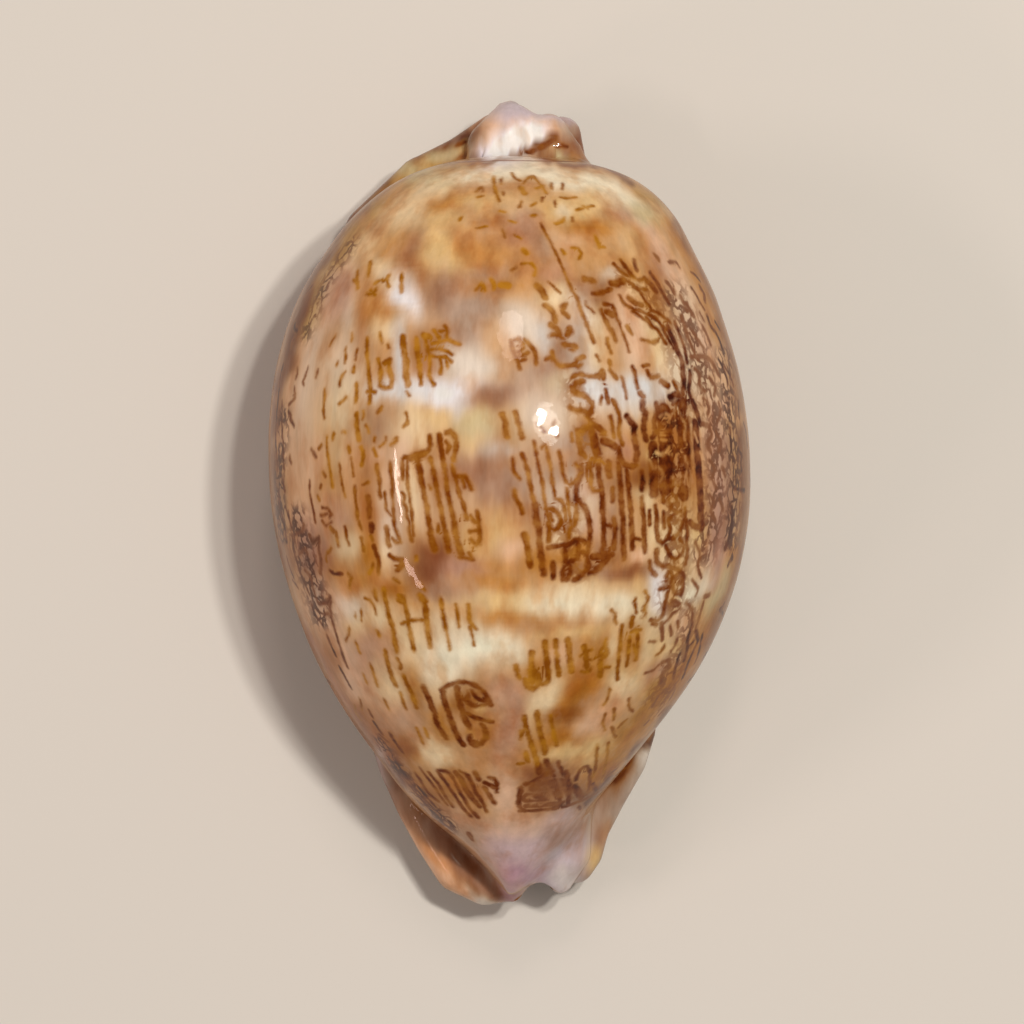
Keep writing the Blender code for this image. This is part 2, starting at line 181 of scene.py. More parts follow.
def spline(x, knots, values):
    # a smooth curve through the values, held level past both ends
    knots = np.asarray(knots, float)
    values = np.asarray(values, float)
    slopes = np.gradient(values, knots)
    x = np.clip(x, knots[0], knots[-1])
    i = np.clip(np.searchsorted(knots, x, side="right") - 1, 0, len(knots) - 2)
    gap = knots[i + 1] - knots[i]
    s = (x - knots[i]) / gap
    rise = values[i + 1] - values[i]
    start = slopes[i] * gap
    end = slopes[i + 1] * gap
    return values[i] + s * (start + s * (3 * rise - 2 * start - end + s * (start + end - 2 * rise)))


def roundCones(points, chain):
    # distance to a chain of round cones
    nearest = np.full(len(points), np.inf)
    for first, last in zip(chain, chain[1:]):
        start = np.array(first[:3])
        along = np.array(last[:3]) - start
        share = np.clip((points - start) @ along / (along @ along), 0.0, 1.0)
        gap = np.linalg.norm(points - start - share[:, None] * along, axis=1)
        nearest = np.minimum(nearest, gap - (first[3] + share * (last[3] - first[3])))
    return nearest


def egg(points, inset=0.0):
    # distance to the whorl's egg, or to a smaller one inside it
    x, y, z = points.T
    middle = (whorl["front"] + whorl["rear"]) / 2
    half = (whorl["rear"] - whorl["front"]) / 2
    t = (y - middle) / half
    level = spline(t, whorl["station"], whorl["level"]) * shell["height"]
    left = spline(t, whorl["station"], whorl["left"]) * shell["width"] / 2
    right = spline(t, whorl["station"], whorl["right"]) * shell["width"] / 2
    side = np.abs(x) / (np.where(x < 0, left, right) - inset)
    rise = z - level
    crown = spline(t, whorl["station"], whorl["crown"]) * shell["height"] - inset
    drop = spline(t, whorl["station"], whorl["drop"]) * shell["height"] - inset
    high = whorl["crownRoundness"]
    low = whorl["baseRoundness"]
    above = (side**high + np.abs(rise / crown) ** high) ** (1 / high)
    below = (side**low + np.abs(rise / drop) ** low) ** (1 / low)
    around = np.where(rise > 0, above, below)
    reach = np.sqrt(around**2 + (t * half / (half - inset)) ** 2) + 1e-9
    return np.sqrt(x**2 + rise**2 + (y - middle) ** 2) * (1 - 1 / reach)


def outside(points):
    # distance to the whole outer form, negative inside it
    d = egg(points)
    for fillet, *chain in endForms.values():
        d = smoothMin(d, roundCones(points, chain), fillet)
    fromSlit = np.abs(points[:, 0] - spline(points[:, 1], slit["y"], slit["middle"]))
    lift = shell["baseLift"] * (1 - smoothStep(fromSlit / shell["baseLiftReach"]))
    return smoothMax(d, lift - points[:, 2], shell["baseEdgeRound"])


def chamber(points):
    # distance to the hollow inside, negative in the hollow
    canal = [(slit["middle"][0], slit["y"][0], spine["z"][0], shell["canalRadius"])]
    canal += [(x, y, z, shell["canalRadius"]) for x, y, z in zip(spine["x"], spine["y"], spine["z"])]
    canal += [(slit["middle"][-1], slit["y"][-1], spine["z"][-1], shell["canalRadius"])]
    d = egg(points, shell["wall"] + hollow["inset"])
    d = smoothMax(d, shell["lipThickness"] - points[:, 2], hollow["floorBlend"])
    d = smoothMax(d, np.abs(points[:, 1] - hollow["middle"]) - hollow["halfLength"], hollow["endBlend"])
    d = smoothMin(d, roundCones(points, canal), hollow["canalBlend"])
    return smoothMax(d, -roundCones(points, hollow["roll"]), hollow["rollBlend"])


# Rays cast out from the spine find both faces of the wall, as grids of rows and columns.
def cast(starts, directions, field, outermost, reach=48.0, steps=72, halvings=16):
    # where each ray crosses the field's surface: its last crossing, or its first
    hit = np.full(len(starts), 0.0 if outermost else reach)
    openRays = np.ones(len(starts), bool)
    distances = np.linspace(0, reach, steps + 1)
    for far in distances[:0:-1] if outermost else distances[1:]:
        looked = np.flatnonzero(openRays)
        at = starts[looked] + (far - (reach / steps if outermost else 0.0)) * directions[looked]
        found = looked[(field(at) < 0) if outermost else (field(at) > 0)]
        hit[found] = far
        openRays[found] = False
    low = hit - reach / steps
    high = hit.copy()
    for _ in range(halvings):
        middle = (low + high) / 2
        inside = field(starts + middle[:, None] * directions) < 0
        low = np.where(inside, middle, low)
        high = np.where(inside, high, middle)
    return starts + ((low + high) / 2)[:, None] * directions


def slope(points, field, step=0.05):
    sides = []
    for axis in range(3):
        nudge = np.zeros(3)
        nudge[axis] = step
        sides.append((field(points + nudge) - field(points - nudge)) / (2 * step))
    return np.stack(sides, 1)


def rimLoop(rows, columns):
    # grid places round the sheet's edge: up the labral lip, round the rear, down the other lip
    loop = [(row, 0) for row in range(rows)]
    loop += [(rows - 1, column) for column in range(1, columns)]
    loop += [(row, columns - 1) for row in range(rows - 2, -1, -1)]
    loop += [(0, column) for column in range(columns - 2, 0, -1)]
    return tuple(np.array(loop).T)


def evenOut(loop, rounds):
    for _ in range(rounds):
        loop = (2 * loop + np.roll(loop, 1, 0) + np.roll(loop, -1, 0)) / 4
    return loop


def drawOnto(points, field):
    # move points onto the field's surface
    normal = slope(points, field)
    size = np.sum(normal**2, 1)[:, None]
    return points - np.clip(field(points)[:, None] / size, -1.0, 1.0) * normal


def relax(grid, field, rounds, rimRounds):
    # even out a grid's spacing and draw it into the creases that the rays passed over
    loop = rimLoop(*grid.shape[:2])
    grid[loop] = evenOut(grid[loop], rimRounds)
    for _ in range(rounds):
        middle = (grid[:-2, 1:-1] + grid[2:, 1:-1] + grid[1:-1, :-2] + grid[1:-1, 2:]) / 4
        points = (0.4 * grid[1:-1, 1:-1] + 0.6 * middle).reshape(-1, 3)
        grid[1:-1, 1:-1] = drawOnto(points, field).reshape(middle.shape)
    return grid


def refined(grid, field):
    # twice as many rows and columns, drawn onto the surface again
    rows, columns = grid.shape[:2]
    fine = np.empty((2 * rows - 1, 2 * columns - 1, 3))
    fine[::2, ::2] = grid
    fine[1::2, ::2] = (grid[:-1] + grid[1:]) / 2
    fine[:, 1::2] = (fine[:, :-2:2] + fine[:, 2::2]) / 2
    return relax(fine, field, *shell["refinedRounds"])


def roundAngles(slitAngles, columns):
    # the angle of every column in each row, from the labral lip over the back to the other lip
    base, side, back = columns
    counts = (base, side, back, side, base)
    stops = [leg + i / count for leg, count in enumerate(counts) for i in range(count)] + [len(counts)]
    angle = {name: math.radians(degrees) for name, degrees in fanAngles.items()}
    angles = np.empty((len(slitAngles), len(stops)))
    for row, (labral, columellar) in enumerate(slitAngles):
        corners = (
            angle["down"] - labral,
            angle["down"] - max(angle["baseLeast"], labral + angle["basePast"]),
            angle["labralSide"],
            angle["columellarSide"],
            angle["down"] + max(angle["baseLeast"], columellar + angle["basePast"]) - 2 * math.pi,
            angle["down"] + columellar - 2 * math.pi,
        )
        angles[row] = np.interp(stops, range(len(corners)), corners)
    return angles


def fan(starts, tilt, angles, field, outermost):
    across = np.cos(tilt)[:, None] * np.cos(angles)
    up = np.cos(tilt)[:, None] * np.sin(angles)
    along = np.broadcast_to(np.sin(tilt)[:, None], angles.shape)
    directions = np.stack([across, along, up], 2).reshape(-1, 3)
    starts = np.repeat(starts, angles.shape[1], 0)
    return cast(starts, directions, field, outermost).reshape(*angles.shape, 3)


def sheet(endTilt, lipShare, field, outermost, tries=8):
    # one face of the wall as a grid of points: the first and last columns keep to the slit's lips
    share = np.linspace(0, 1, shell["rows"])
    starts = np.stack([spline(share, spine["share"], spine[axis]) for axis in "xyz"], 1)
    lean = 2 * share - 1
    tilt = np.radians(np.where(lean < 0, *endTilt)) * np.sign(lean) * np.abs(lean) ** shell["tiltPower"]
    slitAngles = np.full((len(share), 2), math.radians(fanAngles["slit"]))
    for _ in range(tries):
        angles = math.radians(fanAngles["down"]) + slitAngles * (-1.0, 1.0)
        lips = fan(starts, tilt, angles, field, outermost)
        y = lips[..., 1]
        offset = spline(y, slit["y"], slit["halfWidth"]) + lipShare * spline(y, slit["y"], slit["lipRound"])
        wanted = spline(y, slit["y"], slit["middle"]) + offset * (-1.0, 1.0)
        reach = np.hypot(lips[..., 0] - starts[:, None, 0], lips[..., 2] - starts[:, None, 2])
        sine = (wanted - starts[:, None, 0]) * (-1.0, 1.0) / reach
        slitAngles = (slitAngles + np.arcsin(np.clip(sine, 0.02, 0.97))) / 2
    return fan(starts, tilt, roundAngles(slitAngles, shell["columns"]), field, outermost)


def quads(index):
    corners = (index[:-1, :-1], index[:-1, 1:], index[1:, 1:], index[1:, :-1])
    return np.stack(corners, 2).reshape(-1, 4).tolist()


def readVertices(mesh, field="co"):
    values = np.empty(len(mesh.vertices) * 3)
    mesh.vertices.foreach_get(field, values)
    return values.reshape(-1, 3)


def storeValues(mesh, name, values, form="FLOAT"):
    member = {"FLOAT": "value", "FLOAT_VECTOR": "vector", "FLOAT_COLOR": "color"}[form]
    mesh.attributes.new(name, form, "POINT").data.foreach_set(member, values.ravel())


def shellMesh():
    # outer face, rounded edge and inner face as one closed wall
    outer = relax(sheet(shell["outerTilt"], 1.0, outside, True), outside, *shell["outerRounds"])
    outer = refined(outer, outside)
    inner = sheet(shell["innerTilt"], shell["innerLip"], chamber, False)
    inner = relax(inner, chamber, *shell["innerRounds"])
    rows, columns = outer.shape[:2]
    r, c = rimLoop(rows, columns)
    rimOut = outer[r, c]
    rimIn = inner[rimLoop(*inner.shape[:2])]
    halfway = (rimIn + np.roll(rimIn, -1, 0)) / 2
    thickness = np.stack([rimIn, halfway], 1).reshape(-1, 3) - rimOut
    width = np.linalg.norm(thickness, axis=1)[:, None]
    away = rimOut - outer[np.clip(r, 1, rows - 2), np.clip(c, 1, columns - 2)]
    away -= thickness * np.sum(away * thickness, 1)[:, None] / width**2
    away = evenOut(away / (np.linalg.norm(away, axis=1)[:, None] + 1e-9), shell["edgeRounds"])
    away /= np.linalg.norm(away, axis=1)[:, None] + 1e-9
    bulge = np.minimum(width * shell["bulge"], spline(rimOut[:, 1], slit["y"], slit["lipRound"])[:, None])
    edge = []
    for step in range(1, shell["edgeColumns"] + 1):
        turn = math.pi * step / (shell["edgeColumns"] + 1)
        edge.append(rimOut + thickness * (1 - math.cos(turn)) / 2 + away * bulge * math.sin(turn))

    outerIndex = np.arange(rows * columns).reshape(rows, columns)
    innerIndex = np.arange(inner.shape[0] * inner.shape[1]).reshape(inner.shape[:2]) + outerIndex.size
    edgeIndex = outerIndex.size + innerIndex.size + np.arange(len(edge) * len(r)).reshape(len(edge), -1)
    faces = quads(outerIndex) + quads(innerIndex[:, ::-1])
    rings = np.stack([outerIndex[r, c], *edgeIndex])
    faces += quads(np.column_stack([rings, rings[:, :1]]))
    # the edge's last ring has two points to each one of the inner rim
    last = edgeIndex[-1]
    rim = innerIndex[rimLoop(*inner.shape[:2])]
    rimNext = np.roll(rim, -1)
    even, odd, following = last[::2], last[1::2], np.roll(last[::2], -1)
    for corners in ((even, odd, rim), (odd, rimNext, rim), (odd, following, rimNext)):
        faces += np.stack(corners, 1).tolist()
    points = np.concatenate([outer.reshape(-1, 3), inner.reshape(-1, 3)] + edge)
    lining = np.zeros(len(points))
    lining[innerIndex.ravel()] = 1.0
    for step, ring in enumerate(edgeIndex):
        lining[ring] = (step + 1) / (shell["edgeColumns"] + 1)
    mesh = bpy.data.meshes.new("cowrieShell")
    mesh.from_pydata((points * mm).tolist(), [], faces)
    mesh.update()
    storeValues(mesh, "lining", lining)
    return mesh


# The teeth: ridges across both lips, raised by Geometry Nodes.
teeth = {
    "labralTeeth": 27,
    "columellarTeeth": 24,
    "height": 0.75,
    "labralReach": 5.0,
    "columellarReach": 3.6,
    "rowEnd": 27.5,
    "rowFade": 2.5,  # the rows die away over this much at both ends
    "fadeHeights": (0.35, 0.5),  # where up the lip a tooth dies away and over how much, in lip thicknesses
    "unevenness": 0.16,
    "wander": 160.0,  # turns of the unevenness in a metre
    "sharpness": 0.8,
    "seed": 4.0,
}


def storeTeethPlaces(mesh):
    # how far each point is from the slit's middle, and how much of a tooth stands there
    x, y, z = (readVertices(mesh) / mm).T
    fromSlit = x - spline(y, slit["y"], slit["middle"])
    reach = np.where(fromSlit < 0, teeth["labralReach"], teeth["columellarReach"])
    out = np.abs(fromSlit) - spline(y, slit["y"], slit["halfWidth"])
    low, over = teeth["fadeHeights"]
    fade = 1 - smoothStep(out / reach)
    fade *= smoothStep((teeth["rowEnd"] - np.abs(y)) / teeth["rowFade"])
    fade *= 1 - smoothStep((z - low * shell["lipThickness"]) / (over * shell["lipThickness"]))
    storeValues(mesh, "fromSlit", fromSlit * mm)
    storeValues(mesh, "toothFade", fade)


def toothTree():
    tree = bpy.data.node_groups.new("toothRows", "GeometryNodeTree")
    tree.is_modifier = True
    tree.interface.new_socket("Geometry", in_out="INPUT", socket_type="NodeSocketGeometry")
    for name in ("Labral Teeth", "Columellar Teeth", "Tooth Height", "Row End", "Unevenness", "Seed"):
        tree.interface.new_socket(name, in_out="INPUT", socket_type="NodeSocketFloat")
    tree.interface.new_socket("Material", in_out="INPUT", socket_type="NodeSocketMaterial")
    tree.interface.new_socket("Geometry", in_out="OUTPUT", socket_type="NodeSocketGeometry")
    given = addNode(tree, "NodeGroupInput").outputs
    place = addNode(tree, "GeometryNodeInputPosition")
    axes = addNode(tree, "ShaderNodeSeparateXYZ", {0: place.outputs[0]})
    fromSlit = addNode(tree, "GeometryNodeInputNamedAttribute", {"Name": "fromSlit"}, data_type="FLOAT")
    fade = addNode(tree, "GeometryNodeInputNamedAttribute", {"Name": "toothFade"}, data_type="FLOAT")
    labral = addNode(tree, "FunctionNodeCompare", {0: fromSlit.outputs[0], 1: 0.0}, operation="LESS_THAN")
    count = addNode(tree, "GeometryNodeSwitch",
                    {0: labral.outputs[0], 1: given["Columellar Teeth"], 2: given["Labral Teeth"]},
                    input_type="FLOAT")
    rowLength = addNode(tree, "ShaderNodeMath", {0: given["Row End"], 1: 2.0}, operation="MULTIPLY")
    wander = addNode(tree, "ShaderNodeTexNoise",
                     {"Vector": place.outputs[0], "W": given["Seed"], "Scale": teeth["wander"],
                      "Detail": 1.0}, noise_dimensions="4D")
    shift = addNode(tree, "ShaderNodeMath", {0: wander.outputs[0], 1: 0.5}, operation="SUBTRACT")
    stray = addNode(tree, "ShaderNodeMath", {0: shift.outputs[0], 1: given["Unevenness"]},
                    operation="MULTIPLY")
    # each point's place along its row, counted in teeth and a little uneven, and then the ridge this gives
    ridge = axes.outputs[1]
    for operation, *others in (
        ("DIVIDE", rowLength.outputs[0]),
        ("ADD", 0.5),
        ("MULTIPLY", count.outputs[0]),
        ("ADD", stray.outputs[0]),
        ("MULTIPLY", 2 * math.pi),
        ("COSINE",),
        ("MULTIPLY_ADD", 0.5, 0.5),
        ("POWER", teeth["sharpness"]),
        ("MULTIPLY", fade.outputs[0]),
    ):
        inputs = dict(enumerate((ridge, *others)))
        ridge = addNode(tree, "ShaderNodeMath", inputs, operation=operation).outputs[0]
    rise = addNode(tree, "ShaderNodeMath", {0: ridge, 1: given["Tooth Height"]}, operation="MULTIPLY")
    normal = addNode(tree, "GeometryNodeInputNormal")
    offset = addNode(tree, "ShaderNodeVectorMath", {0: normal.outputs[0], "Scale": rise.outputs[0]},
                     operation="SCALE")
    kept = addNode(tree, "GeometryNodeStoreNamedAttribute",
                   {"Geometry": given["Geometry"], "Name": "toothRidge", "Value": ridge},
                   data_type="FLOAT", domain="POINT")
    raised = addNode(tree, "GeometryNodeSetPosition",
                     {"Geometry": kept.outputs[0], "Offset": offset.outputs[0]})
    realized = addNode(tree, "GeometryNodeRealizeInstances", {0: raised.outputs[0]})
    painted = addNode(tree, "GeometryNodeSetMaterial",
                      {"Geometry": realized.outputs[0], "Material": given["Material"]})
    addNode(tree, "NodeGroupOutput", {0: painted.outputs[0]})
    return tree


def raiseTeeth(piece, material):
    tree = toothTree()
    wanted = {
        "Labral Teeth": float(teeth["labralTeeth"]),
        "Columellar Teeth": float(teeth["columellarTeeth"]),
        "Tooth Height": teeth["height"] * mm,
        "Row End": teeth["rowEnd"] * mm,
        "Unevenness": teeth["unevenness"],
        "Seed": teeth["seed"],
        "Material": material,
    }
    modifier = piece.modifiers.new("toothRows", "NODES")
    modifier.node_group = tree
    for item in tree.interface.items_tree:
        if item.in_out == "INPUT" and item.name in wanted:
            modifier[item.identifier] = wanted[item.name]
    graph = bpy.context.evaluated_depsgraph_get()
    mesh = bpy.data.meshes.new_from_object(piece.evaluated_get(graph))
    piece.modifiers.remove(modifier)
    piece.data = mesh


def settle(mesh):
    # centre the shell over the origin and press its base flat onto the floor
    points = readVertices(mesh)
    middle = (points[:, :2].min(0) + points[:, :2].max(0)) / 2
    points[:, :2] -= middle
    points[points[:, 2] < 0.01 * mm, 2] = 0.0
    mesh.vertices.foreach_set("co", points.ravel())
    mesh.update()
    return middle


# How the colour clouds and the brown marks are laid out: by the places they seem to have, seen from above.
layout = {
    "eye": (0.22, -0.70, 608.0),  # where the marks are sighted from, in millimetres
    "plane": 8.0,  # the height at which sighted millimetres are true
    # how the clouds' outlines stray: millimetres across and along one turn, how far in x and y, and a seed
    "wander": ((3.6, 3.6, 0.55, 0.55, 1), (1.3, 1.6, 0.25, 0.22, 5), (0.6, 2.2, 0.06, 0.3, 9)),
    "lattice": 96,  # cells in one turn of the wander's pattern
    "latticeStart": 40.5,
    "cloudReach": 1.3,  # how far a cloud spreads past its half lengths
    "cloudEdge": 1.4,  # above 1, clouds are flatter in the middle and firmer at the edge
    "sweepReach": 2.5,  # how far from its path a sweep is worked out
    "depth": (0.10, 0.24, 0.50),  # how much redder dark patches are than sand, and how much whiter pale ones
    "albedo": (0.004, 0.9),  # the darkest and the palest that a colour may be
    "spread": 0.12,  # how much wider a mark is than its drawn line, as it soaks outwards
    "markReach": 1.6,  # how far from its edge a mark is worked out
    "layers": 4,  # marks near one another are kept in different layers
    "apart": 1.7,
    "turnsDown": 0.12,  # the upward part of the normal where seen marks stop
    "laceFade": 0.1,
    "sideFade": (-0.05, 0.3, 0.1),  # from no clouds to all of them, as the normal turns up, and how uneven
    # the heights where two colours begin and where they are full
    "skirts": (("margin", 9.5, 5.5), ("base", 4.5, 1.0)),
}

# Umber patches on the flanks, which the clouds don't reach.
flankPatches = {
    "size": 4.6,
    "flatness": 1.4,
    "edge": (0.05, 0.5),
    "height": (3.0, 3.0),  # where they begin, and over how much
    "strength": 0.6,
    "waver": 3.0,  # millimetres in one turn of the clouds' lower edge
    "seeds": (21, 23),
}


def sighted(points):
    # the place each point seems to have on the plane, sighted from above
    ex, ey, ez = layout["eye"]
    spread = (ez - layout["plane"]) / (ez - points[:, 2])
    return np.stack([ex + (points[:, 0] - ex) * spread, ey + (points[:, 1] - ey) * spread], 1)


def onShell(places, middle):
    # the points of the shell's back that are sighted at these places
    ex, ey, ez = layout["eye"]
    places = np.asarray(places, float)
    directions = np.column_stack([places - (ex, ey), np.full(len(places), layout["plane"] - ez)])
    reach = np.linalg.norm(directions, axis=1)[:, None]
    upwards = -directions / reach
    starts = np.array((ex, ey, ez)) + directions * (ez + 4.0) / (ez - layout["plane"])
    starts[:, :2] += middle
    return cast(starts, upwards, outside, True) - np.append(middle, 0.0)


groundColours = {
    "sand": "#ca9a66",
    "ivory": "#f2e0ba",
    "cream": "#e8cb9c",
    "milk": "#e2d4bf",
    "pearl": "#ece3d8",
    "frost": "#d7d1c6",
    "butter": "#e2bd80",
    "moss": "#cdba8c",
    "tan": "#bd8858",
    "honey": "#c68b44",
    "golden": "#b87a24",
    "amber": "#94560c",
    "rust": "#a5632c",
    "chestnut": "#84481a",
    "mahogany": "#561a05",
    "umber": "#8c5a40",
    "mauve": "#a07864",
    "dove": "#b39b8b",
    "lilac": "#bb8f7c",
    "rose": "#e2b793",
    "peach": "#dba578",
    "orange": "#dc955a",
    "olive": "#b48d42",
    "orchid": "#cbafae",
    "heather": "#b991a5",
    "ash": "#c6b6ba",
    "plum": "#875849",
    # dark red-brown used only for painted shade in the rear callus's notch
    "notchShade": "#6b3524",
    "margin": "#8a5e3c",
    "base": "#d9c2aa",
    "lining": "#cfc3c4",
    # near-white for the painted highlight on top of the rear callus
    "paintedHighlight": "#f6f0ea",
}

# Long soft sweeps of colour, laid down before the clouds: colour, strength, half width and places x, y.
sweeps = (
    ("ivory", 0.9, 1, (-4.4, 28.2, 0, 28.8, 4, 28.6, 8, 27.8, 11, 26.4)),
    ("cream", 0.6, 1, (-5, 27.8, -8.5, 26.4, -11.5, 23.6, -13.8, 20.6)),
    ("rose", 0.55, 1.3, (-14.8, 20.8, -16.6, 16.8, -17.9, 12, -18.5, 7, -18.4, 2, -18, -1)),
    ("olive", 0.75, 1, (-4, 30.2, -8, 28.9, -10.6, 27.4, -12.9, 25, -15.2, 22, -16.8, 18.6, -18.2, 15.2)),
    ("amber", 0.6, 0.6, (-12.6, 26.2, -15.3, 23, -17.2, 19.6, -18.8, 15.4, -19.7, 11, -20.1, 6)),
    ("lilac", 0.8, 0.9, (8.8, 26.2, 10.5, 25, 12.2, 22.6, 13.6, 20, 15, 17, 16.2, 14)),
    ("rose", 0.7, 0.8, (11.6, 24.4, 13.2, 22, 14.8, 18.8, 16.2, 15.4, 17.4, 12, 18.1, 8.4)),
    ("golden", 0.75, 0.8, (13.9, 24.6, 15.6, 21.6, 16.9, 18.6, 18, 15)),
    ("lilac", 0.9, 1, (17.4, 9, 17.9, 5, 18.1, 1, 17.9, -3, 17.2, -6.4)),
    ("mauve", 0.7, 0.5, (18.7, 6, 19.2, 1, 18.7, -3.4)),
    ("golden", 0.8, 0.8, (19.3, -4.2, 18.6, -7.6, 17.2, -11, 15, -14.4, 12.8, -17.4, 10.4, -20.4)),
    ("rose", 0.7, 1.1, (-16.9, -7, -15.4, -11.4, -13, -15.4, -10, -18.8)),
)

